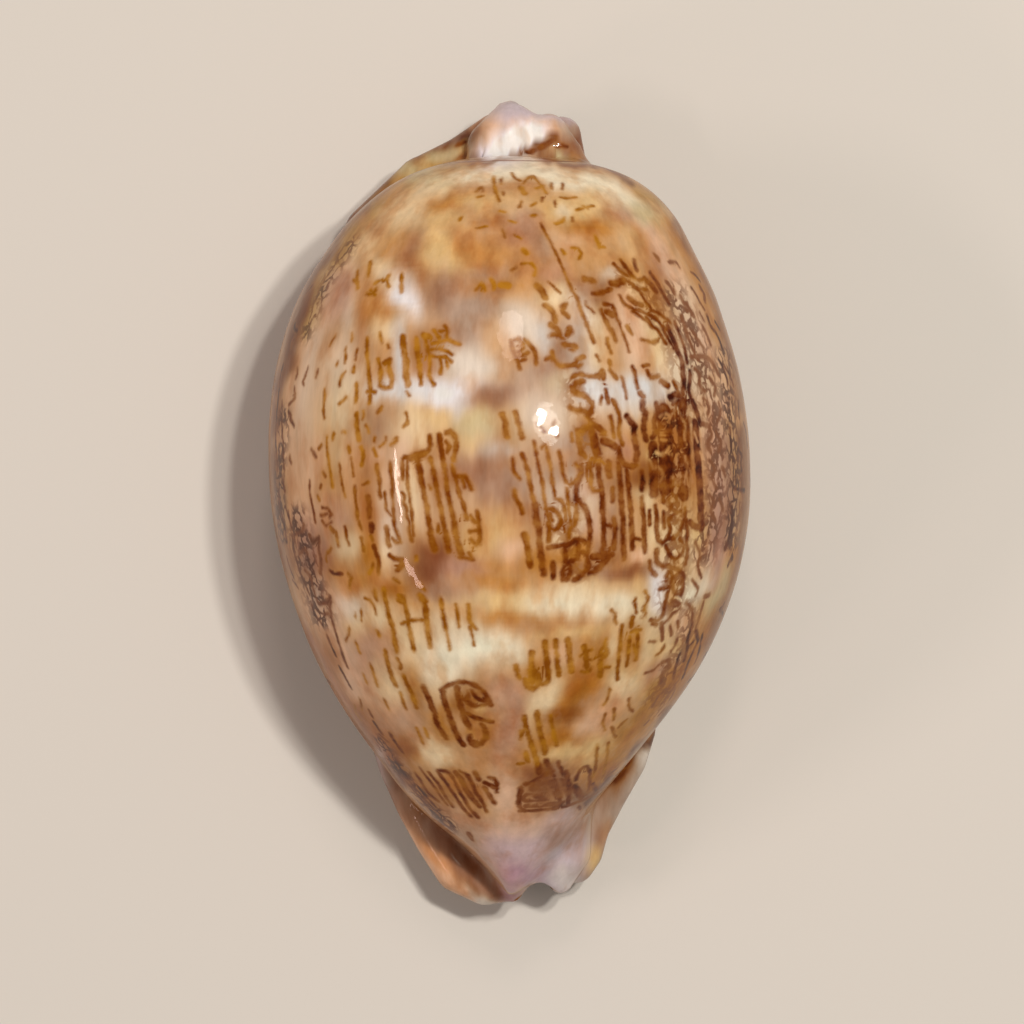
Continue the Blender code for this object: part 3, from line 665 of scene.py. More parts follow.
# Soft clouds of colour, painted one over another: x, y, half length across, half length along, lean in
# degrees (positive leans to the right going up), colour and strength.
clouds = (
    # broad veils first
    (5, 1.6, 3.4, 3.4, 0, "frost", 0.38), (-5.6, 1, 2.4, 3.4, 0, "milk", 0.28),
    (6, 13, 1.8, 2.6, 0, "frost", 0.5), (10.4, 14.6, 1.6, 2.4, -24, "milk", 0.4),
    (13.6, 10.4, 1.2, 2.4, 0, "milk", 0.5), (-14.2, 9.6, 1.8, 4.6, 0, "milk", 0.4),
    (-10.4, -1.6, 1.2, 2.6, 0, "milk", 0.5), (-13.8, 17.4, 1, 2.2, 20, "frost", 0.4),
    (-17, 11, 0.9, 4.4, 8, "milk", 0.4),
    # the rim at the spire end
    (0.5, 27.2, 3, 0.45, 0, "tan", 0.75), (-6.6, 27.4, 1.2, 0.7, 0, "cream", 0.7),
    (-9.2, 25.2, 1.5, 0.7, 0, "cream", 0.7), (-10.4, 26.9, 1, 0.7, 0, "honey", 0.6),
    (-8.6, 28.8, 2.8, 0.5, 26, "moss", 0.7), (-12.4, 24.4, 1.4, 0.6, 40, "tan", 0.5),
    (-5.3, 25.8, 1.7, 0.42, -14, "golden", 0.85), (-4.4, 24.4, 2.6, 0.5, 4, "butter", 0.7),
    (-2.6, 26.2, 2, 0.4, -6, "butter", 0.6), (5.6, 26, 2.4, 0.8, 0, "butter", 0.85),
    (4.9, 25.8, 0.7, 0.5, 0, "milk", 0.6), (8.4, 26.6, 1.4, 0.7, 20, "cream", 0.6),
    (12, 25.4, 1.3, 1, 35, "moss", 0.8), (12.6, 27, 1.9, 0.4, 38, "olive", 0.7),
    (2.6, 26.4, 0.9, 0.8, 0, "honey", 0.6), (0.5, 25.6, 1.6, 0.6, 0, "cream", 0.4),
    # behind the crown, left of the middle
    (-8.3, 22.2, 1.3, 1.7, 0, "mauve", 0.8), (-8, 21.2, 1.4, 1, 0, "rust", 0.5),
    (-10.6, 22.8, 0.9, 1.6, 20, "honey", 0.6), (-6.2, 22, 1.3, 2, -12, "butter", 0.95),
    (-5, 21.2, 1.2, 1, 0, "butter", 0.9), (-11.3, 20.4, 0.9, 0.8, 0, "cream", 0.7),
    (-13, 19.4, 0.7, 1.2, 20, "honey", 0.6), (-14.9, 18.2, 1, 2, 24, "lilac", 0.7),
    (-1.6, 23.6, 2.6, 1.1, 0, "tan", 0.7), (-2.2, 21.9, 2.4, 0.9, 0, "honey", 0.6),
    (-1.4, 24.6, 1.4, 0.35, 4, "rust", 0.6), (-1.2, 20, 1.7, 0.6, 0, "dove", 0.65),
    (-9.2, 17.8, 1.1, 1.7, -36, "pearl", 0.95), (-10.6, 19, 0.8, 0.6, 0, "cream", 0.6),
    (-5.4, 18.6, 2.2, 1.5, 0, "mauve", 0.9), (-3.6, 17, 2.4, 1.1, 0, "dove", 0.85),
    (-2.8, 18.9, 1.8, 0.7, 0, "tan", 0.6), (-12.4, 17, 1, 1.5, 0, "honey", 0.7),
    (-0.5, 18.9, 0.9, 0.5, 0, "umber", 0.55), (-10.9, 16, 1.6, 0.6, -14, "honey", 0.5),
    # behind the crown, right of the middle
    (6.9, 24, 1.8, 0.6, 14, "golden", 0.8), (1.2, 24.2, 1.3, 1.4, 0, "lilac", 0.6),
    (2.9, 22.4, 1, 1.7, -30, "mauve", 0.7), (5.3, 23, 1, 0.8, 0, "rose", 0.5),
    (2, 20.4, 2.6, 1, 0, "tan", 0.8), (4, 19.6, 1.2, 1, 0, "lilac", 0.5),
    (11.1, 22.6, 0.8, 1.5, -30, "golden", 0.8), (12.3, 19.8, 0.5, 2, -28, "rust", 0.95),
    (6.6, 18.6, 1.7, 1, 0, "umber", 0.75), (9.6, 20.3, 0.8, 0.8, 0, "golden", 0.5),
    (8.3, 19.9, 0.7, 0.6, 0, "milk", 0.5), (4, 18, 1, 0.9, 0, "cream", 0.9),
    (10.8, 18.6, 1, 0.6, 20, "cream", 0.6), (12.2, 17, 0.7, 1.6, -28, "honey", 0.7),
    (8.6, 17.2, 0.8, 1.6, -30, "umber", 0.6), (6.1, 16.4, 0.8, 1.6, -24, "frost", 0.6),
    (10, 16.4, 1, 1.9, -30, "rose", 0.8), (12.2, 15.2, 0.7, 1.5, -28, "cream", 0.6),
    (2.4, 18.8, 1.2, 0.7, 0, "honey", 0.5), (13.4, 17.2, 0.5, 1.8, -26, "amber", 0.6),
    # the left of the back, down to the crown
    (-15.9, 13.6, 0.6, 1.8, 12, "tan", 0.75), (-14.6, 12, 1.2, 1.7, 0, "rose", 0.6),
    (-14.6, 11, 0.9, 1, 0, "dove", 0.4), (-12.8, 14.2, 0.7, 2.4, 4, "rust", 0.65),
    (-10.8, 14.8, 0.9, 0.9, 0, "cream", 0.7), (-9.8, 12.6, 0.6, 2.6, 0, "frost", 0.95),
    (-11.4, 11.8, 0.9, 1.2, 0, "tan", 0.5), (-7.3, 13.6, 1.5, 1.5, 0, "umber", 0.6),
    (-7.4, 11.6, 1.4, 0.8, 0, "lilac", 0.5), (-4.4, 14.4, 1.6, 2, 0, "dove", 0.9),
    (-3.4, 12, 1.7, 1.3, 0, "milk", 0.8), (-6.2, 9.7, 3.8, 1, 0, "pearl", 1),
    (-9.8, 9.7, 2, 0.8, 0, "frost", 0.8), (-4.6, 8.4, 1, 0.8, 0, "pearl", 0.8),
    (-14.4, 8.6, 1.3, 1.5, 0, "butter", 0.5), (-16.2, 8.6, 0.7, 2.2, 0, "peach", 0.5),
    (-12.1, 6.4, 1.4, 1.6, 20, "umber", 0.95), (-10.6, 7.6, 1, 0.8, 0, "mauve", 0.5),
    (-8.4, 6.6, 1.9, 1.7, 0, "cream", 0.85), (-9.9, 3.6, 0.7, 1.6, 8, "rose", 0.8),
    (-11.9, 3.7, 0.7, 0.7, 0, "rose", 0.75), (-6, 7.6, 1.6, 0.7, 0, "butter", 0.6),
    (-2.6, 7, 1.7, 1.3, 0, "moss", 0.95), (-1, 4.6, 1.4, 0.9, 0, "frost", 0.9),
    (-3.2, 5.4, 1.4, 0.7, 0, "butter", 0.5), (0.6, 6.8, 0.9, 1.4, 12, "olive", 0.6),
    (-7.9, 4.3, 1.1, 0.4, -10, "rust", 0.7), (-5.4, 5, 0.9, 1, 0, "rust", 0.5),
    (-15.7, 3.6, 0.7, 4.4, 0, "honey", 0.4), (-14.4, 7.4, 1.6, 3.6, 0, "cream", 0.5),
    (-17, 3, 0.7, 2, 0, "rose", 0.6), (-13.9, 3, 0.8, 2.6, 0, "peach", 0.6),
    (-12.3, 1, 1.1, 2.6, 0, "rust", 0.55), (-9.2, 0, 0.8, 1.6, 8, "lilac", 0.5),
    (-8.3, 1.2, 0.6, 2.2, -10, "cream", 0.85), (-6.3, 1.4, 0.7, 2, -8, "tan", 0.7),
    (-3.1, 2.6, 2.4, 1.5, -18, "mauve", 0.9), (-4.8, 2, 0.9, 1.2, 0, "rust", 0.5),
    (-1, 1.4, 1.7, 1.2, 0, "mauve", 0.85), (-0.6, 9.4, 2.8, 0.9, -6, "mauve", 0.85),
    (-1.2, 8.9, 1.2, 0.6, 0, "umber", 0.5),
    # the right of the back, down to the crown
    (0.9, 15.6, 1.8, 1.5, 0, "milk", 0.75), (3.2, 14, 0.8, 1.4, -30, "frost", 0.75),
    (1.2, 13.5, 0.8, 0.8, 0, "tan", 0.6), (2, 11.6, 2.2, 1.4, 0, "dove", 0.75),
    (3.4, 12.6, 1, 1, 0, "mauve", 0.5), (4.7, 13.6, 0.8, 1.6, -24, "umber", 0.6),
    (6.3, 13.4, 0.8, 1.6, -24, "dove", 0.7), (7.8, 14, 0.8, 2.2, -20, "cream", 0.75),
    (4.8, 10.6, 1.3, 0.8, 0, "moss", 0.5), (9.3, 13.6, 0.6, 1.6, -20, "honey", 0.7),
    (10.9, 13.8, 0.9, 1.9, -24, "peach", 0.85), (13.5, 13, 0.9, 1.9, -16, "butter", 0.95),
    (9.7, 10.1, 3.1, 1.2, 0, "frost", 1), (7.6, 9.9, 1.1, 1, 0, "frost", 0.9),
    (12.4, 9.6, 1.3, 1.1, 0, "frost", 0.95), (9.6, 8.2, 2.2, 1, 0, "milk", 0.5),
    (6, 10.3, 0.5, 0.6, 0, "rust", 0.6), (3.2, 7.7, 2.1, 1.7, 0, "milk", 0.65),
    (6.9, 5.7, 1.3, 1.2, 0, "chestnut", 0.7), (8.5, 7.2, 1.2, 1, 0, "tan", 0.7),
    (4.7, 5.2, 1.5, 0.8, 0, "dove", 0.75), (3.1, 3.4, 2.8, 1, 0, "tan", 0.7),
    (1, 1.3, 1.3, 1.1, 0, "dove", 0.6), (4.4, 2.6, 1.4, 0.6, -20, "umber", 0.5),
    (6.6, 1.2, 1.2, 0.7, 0, "rose", 0.5), (10.4, 4.9, 0.9, 1.1, 0, "lilac", 0.75),
    (8.6, 3.4, 1.4, 0.8, 0, "rust", 0.6), (10.2, 1.4, 1.8, 1, 0, "chestnut", 0.65),
    (14.4, 7.4, 1.5, 1.8, 0, "amber", 0.55), (12.6, 6.4, 1.1, 1.4, 0, "golden", 0.5),
    (13.2, 2.4, 2, 1.5, 0, "chestnut", 0.7), (15.2, 5, 0.8, 2.4, 0, "rust", 0.7),
    (15.4, 1.2, 1.1, 2.2, 0, "rust", 0.5), (12.8, 4.3, 0.6, 0.5, 0, "butter", 0.8),
    (12.2, 0.4, 1.1, 0.5, 0, "cream", 0.7), (15.2, 10.4, 1, 2.4, -8, "cream", 0.6),
    (16.4, 7.8, 0.7, 0.9, 0, "cream", 0.85), (17.6, 10.2, 0.7, 1.2, -6, "cream", 0.6),
    (14.6, 11, 0.6, 1.2, -10, "butter", 0.5),
    # the front half of the crown
    (-17.6, -3.6, 1.1, 2, -6, "lilac", 0.9), (-17.9, -5, 0.7, 1.2, -12, "mauve", 0.6),
    (-16, -1.2, 0.9, 1.4, 0, "rose", 0.7), (-14.4, -3.8, 0.9, 0.9, 0, "cream", 0.85),
    (-14.8, -1, 0.7, 1, 0, "lilac", 0.5), (-12.4, -4.8, 0.7, 1.9, 0, "golden", 0.9),
    (-13.2, -6.9, 1.7, 0.7, 0, "honey", 0.7), (-12.6, -1, 0.9, 1.4, 0, "rust", 0.6),
    (-15.6, -6, 0.8, 1, 0, "honey", 0.5), (-10.8, -4.4, 0.45, 1.5, 4, "cream", 0.7),
    (-10, -7.8, 1.1, 0.7, 0, "golden", 0.9), (-9.4, -3, 0.8, 1, 0, "tan", 0.4),
    (-6.5, -5.7, 1.9, 2.2, 0, "umber", 1), (-6.4, -4.2, 1.4, 0.9, 0, "umber", 0.6),
    (-5.8, -8, 1.7, 0.7, 0, "mauve", 0.8), (-3.9, -6.4, 1.5, 1.2, 0, "lilac", 0.85),
    (-3.4, -3.4, 0.5, 1.3, -8, "butter", 0.7), (-1.4, -2.6, 1.1, 1.5, 0, "butter", 0.6),
    (-4.6, -1.4, 0.7, 1.3, -10, "tan", 0.6), (0.4, -4.3, 1.3, 1.1, 0, "rose", 0.85),
    (-1.2, -5.8, 1.4, 0.5, 0, "honey", 0.5), (2, -0.6, 1.4, 0.8, 0, "mauve", 0.6),
    (2.5, -2, 1.1, 1, 0, "tan", 0.6), (4.9, -0.7, 0.6, 1.2, 20, "cream", 0.7),
    (4.4, -3, 1.4, 0.45, 0, "cream", 0.7), (7.3, -2, 0.6, 2, -8, "lilac", 0.7),
    (6.6, -0.4, 0.7, 0.9, 0, "cream", 0.6), (3, -5.1, 1.9, 0.9, 0, "golden", 0.75),
    (6.4, -3.8, 1.1, 1.1, 0, "golden", 0.7), (8.2, -4.5, 0.9, 0.7, 0, "chestnut", 0.7),
    (9.3, -2.2, 0.7, 1.9, 0, "mauve", 0.75), (11.2, -4.6, 0.9, 0.9, 0, "rose", 0.9),
    (12.3, -1.8, 0.45, 2, 0, "cream", 0.85), (10.2, -6.1, 3.2, 0.6, 2, "umber", 0.85),
    (6, -6, 1.6, 0.5, 0, "mauve", 0.6), (14.1, -3.4, 1.5, 2, 0, "cream", 0.8),
    (15.9, -2.2, 0.6, 0.9, 0, "butter", 0.7), (14.6, -5.8, 0.8, 1.4, 0, "cream", 0.6),
    (15.9, 0.2, 0.8, 1, 0, "butter", 0.4), (16.4, -4.4, 0.7, 1, 10, "rose", 0.6),
    # the pale band in front of the crown
    (0.4, -8.5, 3.6, 0.8, 0, "butter", 0.95), (-1.8, -7.1, 2.6, 0.5, 0, "honey", 0.8),
    (4.4, -8.6, 2.5, 1, 0, "ivory", 1), (7, -8, 3, 1, 0, "cream", 0.7),
    (9.2, -9.3, 2.4, 1, -6, "ivory", 0.95), (11.4, -8.6, 0.9, 1.4, 0, "butter", 0.6),
    (12.9, -8, 0.7, 1.9, 2, "pearl", 0.95), (14.3, -7.2, 0.6, 2, 6, "honey", 0.8),
    (16, -7.6, 0.9, 1.5, 22, "ivory", 0.9), (15, -10.2, 0.9, 1.2, 20, "rose", 0.7),
    (18.2, -7.4, 0.5, 1.5, 14, "moss", 0.85), (-1, -10, 3.2, 0.5, 0, "honey", 0.85),
    (-6.8, -9.3, 2.8, 0.4, 0, "honey", 0.7), (2.6, -10.6, 3.4, 0.6, 0, "tan", 0.5),
    (5.6, -11.5, 2.8, 0.5, 0, "butter", 0.6), (-15.5, -9, 1.3, 1.6, -14, "rose", 0.8),
    (-12.1, -10, 1.6, 1.3, 0, "cream", 0.95), (-16.4, -8, 0.5, 1.2, -14, "dove", 0.7),
    (-13.8, -9, 1, 0.8, 0, "milk", 0.5), (-5.6, -11.6, 1.9, 2, 0, "ivory", 0.95),
    (-8.7, -12.2, 1.4, 1.9, 0, "cream", 0.9), (-2.4, -12.7, 2.6, 1.4, 0, "ivory", 1),
    (-5.8, -14.6, 1.7, 1.4, 0, "ivory", 0.9), (-0.2, -12.6, 1.2, 0.9, 0, "ivory", 0.7),
    (-12, -13, 1.5, 1.5, -10, "lilac", 0.6), (-13.8, -14.6, 0.8, 1.6, -28, "rose", 0.7),
    # the narrowing front, left of the middle
    (-10.6, -15.8, 0.7, 1.6, -16, "cream", 0.8), (-8.7, -16, 0.6, 1.8, -16, "golden", 0.55),
    (-6.3, -16.4, 0.8, 1.2, -14, "cream", 0.6), (-1, -16.4, 1.6, 1.2, 0, "lilac", 0.65),
    (-1.6, -17, 0.9, 0.9, 0, "rose", 0.6), (-3.8, -17.1, 1.5, 1.3, 0, "amber", 0.75),
    (-3, -17.7, 0.5, 0.4, 0, "butter", 0.7), (-5.6, -18.8, 0.8, 1.2, -12, "golden", 0.8),
    (-10.2, -18.8, 0.9, 1.6, -34, "peach", 0.7), (-8.4, -20, 0.8, 1.7, -28, "rose", 0.7),
    (-3.4, -20, 1.2, 0.6, 0, "golden", 0.7), (-3.2, -21.6, 1.4, 1.4, 0, "tan", 0.8),
    (-6.2, -22, 1.5, 1.2, 0, "cream", 1), (-8, -22.6, 0.6, 1.2, -38, "honey", 0.6),
    (-0.6, -20.4, 0.9, 1.8, 0, "lilac", 0.6), (-3, -24.4, 1.6, 0.8, 0, "rust", 0.7),
    (-5.2, -24.6, 1, 0.7, -30, "honey", 0.6), (-0.2, -25, 0.9, 1.8, 0, "rose", 0.95),
    (-4.6, -27.2, 1.5, 0.6, 36, "rose", 0.8), (-2.4, -27.6, 2, 0.7, 20, "peach", 0.6),
    # the narrowing front, right of the middle
    (10.5, -12, 0.8, 1.3, 0, "golden", 0.7), (11.7, -12.3, 0.5, 1.8, 10, "cream", 0.7),
    (13.5, -12.2, 1.4, 1.1, 20, "butter", 0.7), (4.8, -13.4, 0.9, 0.9, 0, "rose", 0.7),
    (7.4, -13.2, 0.9, 1.1, 0, "golden", 0.6), (9, -13.2, 0.5, 1.2, 0, "cream", 0.7),
    (2, -14.6, 0.8, 0.8, 0, "golden", 0.7), (13.2, -14.2, 1.5, 0.6, -30, "lilac", 0.6),
    (10.2, -14.9, 1.2, 0.8, -10, "butter", 0.5), (6, -16.3, 0.9, 2.5, 56, "golden", 0.95),
    (2.9, -17, 0.8, 1.8, 32, "cream", 0.95), (4.9, -18.4, 1.7, 0.7, -10, "amber", 0.9),
    (9.8, -16.1, 1.3, 0.9, -14, "cream", 0.9), (7.1, -17, 0.6, 1.4, 48, "tan", 0.6),
    (8.2, -18.5, 0.9, 1.7, 50, "peach", 0.95), (6.6, -19.4, 0.7, 1.4, 56, "rose", 0.6),
    (12.9, -16.6, 0.7, 1.8, 38, "olive", 0.8), (0.6, -18.6, 0.8, 2.2, 0, "lilac", 0.6),
    (4.3, -20.5, 1.8, 0.8, -8, "golden", 0.9), (5.2, -21.9, 2.4, 0.6, -6, "butter", 0.8),
    (8.1, -21.2, 0.8, 1.8, 50, "butter", 0.85), (9.2, -22.4, 0.6, 1, 50, "olive", 0.8),
    (11.2, -19, 0.6, 1.6, 42, "olive", 0.8), (1.4, -22.4, 1, 0.9, 0, "tan", 0.6),
    (2.9, -25, 1.7, 1.2, -8, "plum", 0.8), (3.2, -23.5, 1.2, 0.7, 0, "chestnut", 0.8),
    (4.8, -24.4, 0.9, 1, 0, "umber", 0.7), (6.6, -25.5, 0.6, 1.7, 60, "mahogany", 0.85),
    (7.6, -23.8, 0.6, 1.2, 50, "amber", 0.6), (1.6, -27.4, 2.2, 0.6, 0, "tan", 0.7),
    (14.8, -14.6, 0.5, 1.4, 34, "amber", 0.6),
    # thin veils over the crown's marks
    (5.4, 1.2, 2.6, 2.8, 0, "frost", 0.16), (-6, 1.6, 1.8, 2.8, 0, "milk", 0.1),
    (6, 13.6, 1.2, 2, -20, "frost", 0.25), (10.6, 14, 1.4, 2.2, -24, "milk", 0.22),
    (14, 11.4, 0.9, 2, -10, "milk", 0.3), (-10.2, -1.8, 1, 2.2, 0, "milk", 0.3),
    (-14, 10.4, 1.6, 3.4, 0, "milk", 0.2), (0.6, 3.6, 2.4, 1.8, 0, "dove", 0.3),
    (2.4, 9.6, 1.8, 2, 0, "dove", 0.25), (-2, 1.4, 1.6, 2.4, 0, "mauve", 0.25),
    (-9.6, -20, 1.6, 3.2, 34, "umber", 0.3), (-6.2, -26.4, 1.4, 1.6, 40, "umber", 0.3),
    (-16.6, -4.6, 1.4, 3.4, 8, "plum", 0.28), (14.6, 6, 1.2, 6, 0, "honey", 0.25),
    (16.8, 8, 0.8, 6, 0, "rose", 0.3), (17.6, -3, 0.7, 3, -8, "lilac", 0.35),
    (-14.6, 8, 2.4, 5, 0, "moss", 0.18), (-10.4, 4.4, 1.6, 2.6, 0, "dove", 0.2),
    (-0.6, 6, 1.6, 1.4, 0, "dove", 0.25), (-6.4, 30.6, 1.4, 0.7, 30, "umber", 0.75),
    (15, 12.4, 1.3, 4.2, -8, "milk", 0.35), (14.6, 17.6, 1, 2.2, -28, "cream", 0.35),
    (18, 9, 0.8, 4, 0, "rose", 0.4), (13.8, -2, 1, 3, 0, "cream", 0.3),
    (4.4, 26, 3.2, 1, 0, "butter", 0.35), (10.4, 22.4, 1, 1.6, -30, "cream", 0.35),
    (-10.2, -22.6, 1.4, 2, 36, "golden", 0.3), (-6.2, -10.4, 1.8, 1.2, 0, "honey", 0.3),
    (9.8, -10, 1.6, 1.2, 0, "cream", 0.3), (4.6, 0.6, 1.8, 2.4, 0, "dove", 0.3),
    (13.4, -9.6, 1, 2.4, 10, "cream", 0.3),
    # the front canal and its spouts
    (1.4, -29.8, 3.2, 1.9, 0, "orchid", 1), (4, -28, 1.6, 0.9, -30, "orchid", 0.9),
    (5.5, -30.2, 1.7, 2.2, 0, "ash", 0.95), (4.2, -33.2, 1.7, 1.3, 0, "ash", 1),
    (1.6, -32.2, 1.6, 1.1, 0, "heather", 0.85), (0.3, -33.9, 0.8, 1, 0, "heather", 0.8),
    (6, -28, 0.6, 1.4, 36, "mauve", 0.6), (7.7, -27.2, 0.8, 2, 14, "dove", 0.9),
    (8.1, -29.6, 0.4, 1.6, 14, "mauve", 0.6), (7.3, -31.3, 0.5, 0.9, 8, "butter", 0.95),
    (4.2, -29.4, 0.5, 1.4, 50, "lilac", 0.5),
    # the flanges beside the canal
    (12, -22.6, 0.9, 2.6, 20, "milk", 1), (10.8, -25.2, 1, 2, 26, "dove", 1),
    (9.6, -27.4, 0.9, 1.6, 22, "dove", 0.9), (8.7, -29.4, 0.7, 1.2, 18, "tan", 0.7),
    (-9.8, -25.2, 0.8, 1.8, -24, "dove", 0.9), (-10.8, -23.4, 0.5, 1.2, -24, "dove", 0.7),
    (-9.4, -27, 0.6, 0.9, -30, "tan", 0.6), (-7.9, -29.8, 1.1, 2.6, -32, "peach", 1),
    (-5.6, -32.8, 1.1, 1.8, -50, "peach", 0.95), (-7.4, -30.6, 0.5, 2, -34, "orange", 0.7),
    (-2.4, -34.3, 1.9, 0.6, 14, "milk", 0.85), (-4.6, -33.6, 1.2, 0.5, 30, "peach", 0.7),
    # partly painted shade: the dark mauve, umber and plum clouds down the groove between the front-left
    # flange and the body, over its own colour
    (-4.3, -31.1, 0.9, 1.9, -46, "mauve", 1), (-5.8, -29, 0.8, 1.6, -40, "umber", 0.9),
    (-2.4, -32.4, 0.8, 1, -46, "umber", 0.9), (-1.2, -33.2, 0.6, 0.9, -30, "plum", 0.7),
    (-0.6, -25.2, 1, 2.2, 0, "rose", 0.5), (-3.6, -28.6, 1.8, 1, -42, "dove", 0.55),
    (1.6, -27.8, 2.6, 0.8, 0, "rose", 0.5), (3.6, -24.4, 2.2, 0.7, 6, "plum", 0.45),
    # painted shadow: the mauve cloud at the start of the next line, on the canal's callus
    (4.4, -29, 1.5, 0.7, 36, "mauve", 0.5), (5, -33, 0.9, 1, 0, "milk", 0.6),
    # the rear callus and the spire beside it, with painted shade in its notch and in the crease below it
    (0.4, 32.8, 4.2, 2.4, 0, "rose", 1), (0.2, 33.9, 2.2, 0.8, 0, "ash", 0.9),
    (0.3, 34.7, 1.4, 0.6, 0, "ash", 0.8), (2.9, 33.7, 1.6, 0.4, 0, "ash", 0.7),
    (-2.2, 32.2, 1, 0.9, 30, "peach", 0.6), (2.7, 32.6, 1.5, 0.5, 10, "peach", 0.7),
    # painted highlight: the three near-white clouds from here on paint a sheen on top of the callus
    (-0.3, 31, 2.4, 1.1, -8, "paintedHighlight", 1), (0.9, 31.5, 1.7, 0.9, -24, "paintedHighlight", 1),
    # painted shade: the dark umber streak at the end of the next line, and the dark wine, chestnut and
    # mahogany streaks below it, lie in the notch between the callus's lobes and in the crease under it
    (-0.4, 31.2, 2, 0.9, -8, "paintedHighlight", 1), (3, 31.2, 1.3, 0.35, -24, "umber", 0.9),
    (-2.6, 30.6, 0.6, 0.7, 30, "ash", 0.6), (5.6, 33, 0.9, 1.2, -10, "dove", 0.95),
    (4.9, 33.7, 0.9, 0.35, 0, "ash", 0.8), (6.3, 31.8, 0.4, 1.6, -8, "plum", 0.8),
    (2.6, 31.1, 1.8, 0.3, -27, "notchShade", 1), (3, 30.4, 1.4, 0.3, 0, "chestnut", 0.8),
    (4.8, 31.5, 1.1, 0.5, 0, "chestnut", 0.9), (4.6, 30.5, 1.2, 0.45, 8, "moss", 1),
    (5.6, 31, 0.5, 0.5, 0, "umber", 0.7), (6.3, 30.3, 0.6, 0.4, 20, "golden", 0.7),
    (-5.7, 31.1, 2, 0.5, -30, "chestnut", 0.9), (-4.2, 31.6, 1.4, 0.7, -36, "mahogany", 0.9),
    (-4.4, 30.9, 0.5, 0.35, 0, "golden", 0.8), (-6.6, 30.1, 2.4, 0.45, -24, "moss", 0.8),
    (-3.4, 29.9, 1.3, 0.28, 0, "golden", 0.85),
)

# Darker sweeps along the margins, laid over the clouds: the mahogany ones along the edges and the mauve and
# umber ones down the front-left groove are partly the shell's own colour and partly painted shade; the
# chestnut and mahogany ones in the crease under the rear callus are painted shade.
marginSweeps = (
    ("mahogany", 0.6, 0.9, (-11.2, 28.1, -13.8, 25.5, -16, 22.4, -17.9, 18.6, -19.4, 14.4, -20.2, 10)),
    ("mahogany", 0.6, 0.9, (-20.4, 8, -20.7, 3, -20.5, -2, -19.9, -6, -18.8, -10, -17, -14)),
    ("mahogany", 0.6, 0.9, (-16.4, -15, -14.4, -18.2, -11.8, -21.6, -9.6, -24.4)),
    ("rust", 0.7, 1.3, (-17.2, -12, -15.2, -15.6, -12.6, -18.6, -10, -21.8)),
    ("amber", 0.45, 1, (-9.8, -22, -8, -24.6, -6, -26.8)),
    ("golden", 0.7, 1.2, (16.4, -12.6, 14.2, -15.8, 11.8, -18.8, 9.4, -22, 7.6, -24.4)),
    ("ash", 0.6, 0.7, (-11.6, -22, -11.2, -24.4, -10, -26.6)),
    ("rose", 0.8, 0.5, (-9.6, -27.4, -8.6, -29.8, -7, -31.8, -5.2, -33.2)),
    # partly painted shade, over the groove's own colour: the mauve and umber sweeps down the groove between
    # the front-left flange and the body
    ("mauve", 0.7, 0.8, (-9.8, -25.4, -8.2, -27.8, -6.6, -29.6, -5, -31)),
    ("mauve", 0.8, 0.6, (-7, -28, -5, -30, -3.4, -31.6, -2, -32.9)),
    ("umber", 0.7, 0.45, (-4, -30.8, -2.8, -31.9, -1.8, -33)),
    # painted shade: a dark line along the crease under the rear callus
    ("chestnut", 0.7, 0.28, (-4.8, 30.3, -2, 30.15, 1, 30.1, 4, 30.05, 7, 29.8)),
    ("dove", 0.6, 0.45, (-4.6, 33, -7, 31.8, -9.6, 30, -11.6, 28.2)),
    ("mahogany", 0.6, 0.85, (14.9, 24.4, 16.6, 21.4, 18, 18, 19.2, 14, 20.2, 9)),
    ("mahogany", 0.6, 0.9, (20.4, 7, 20.8, 2, 20.6, -3, 19.9, -6.6, 18.7, -10.4)),
    ("mahogany", 0.6, 0.8, (18.2, -11.6, 16.6, -14.6, 14.4, -17.8)),
    ("mahogany", 0.8, 0.4, (14.4, -17.8, 12, -20.6, 10.2, -22.6, 8.2, -24.7, 6.8, -26.2)),
    # painted shade: the crease under the rear callus, on to the right
    ("mahogany", 0.6, 0.35, (6.6, 30.2, 8.4, 29.5, 11, 28.2)),
)
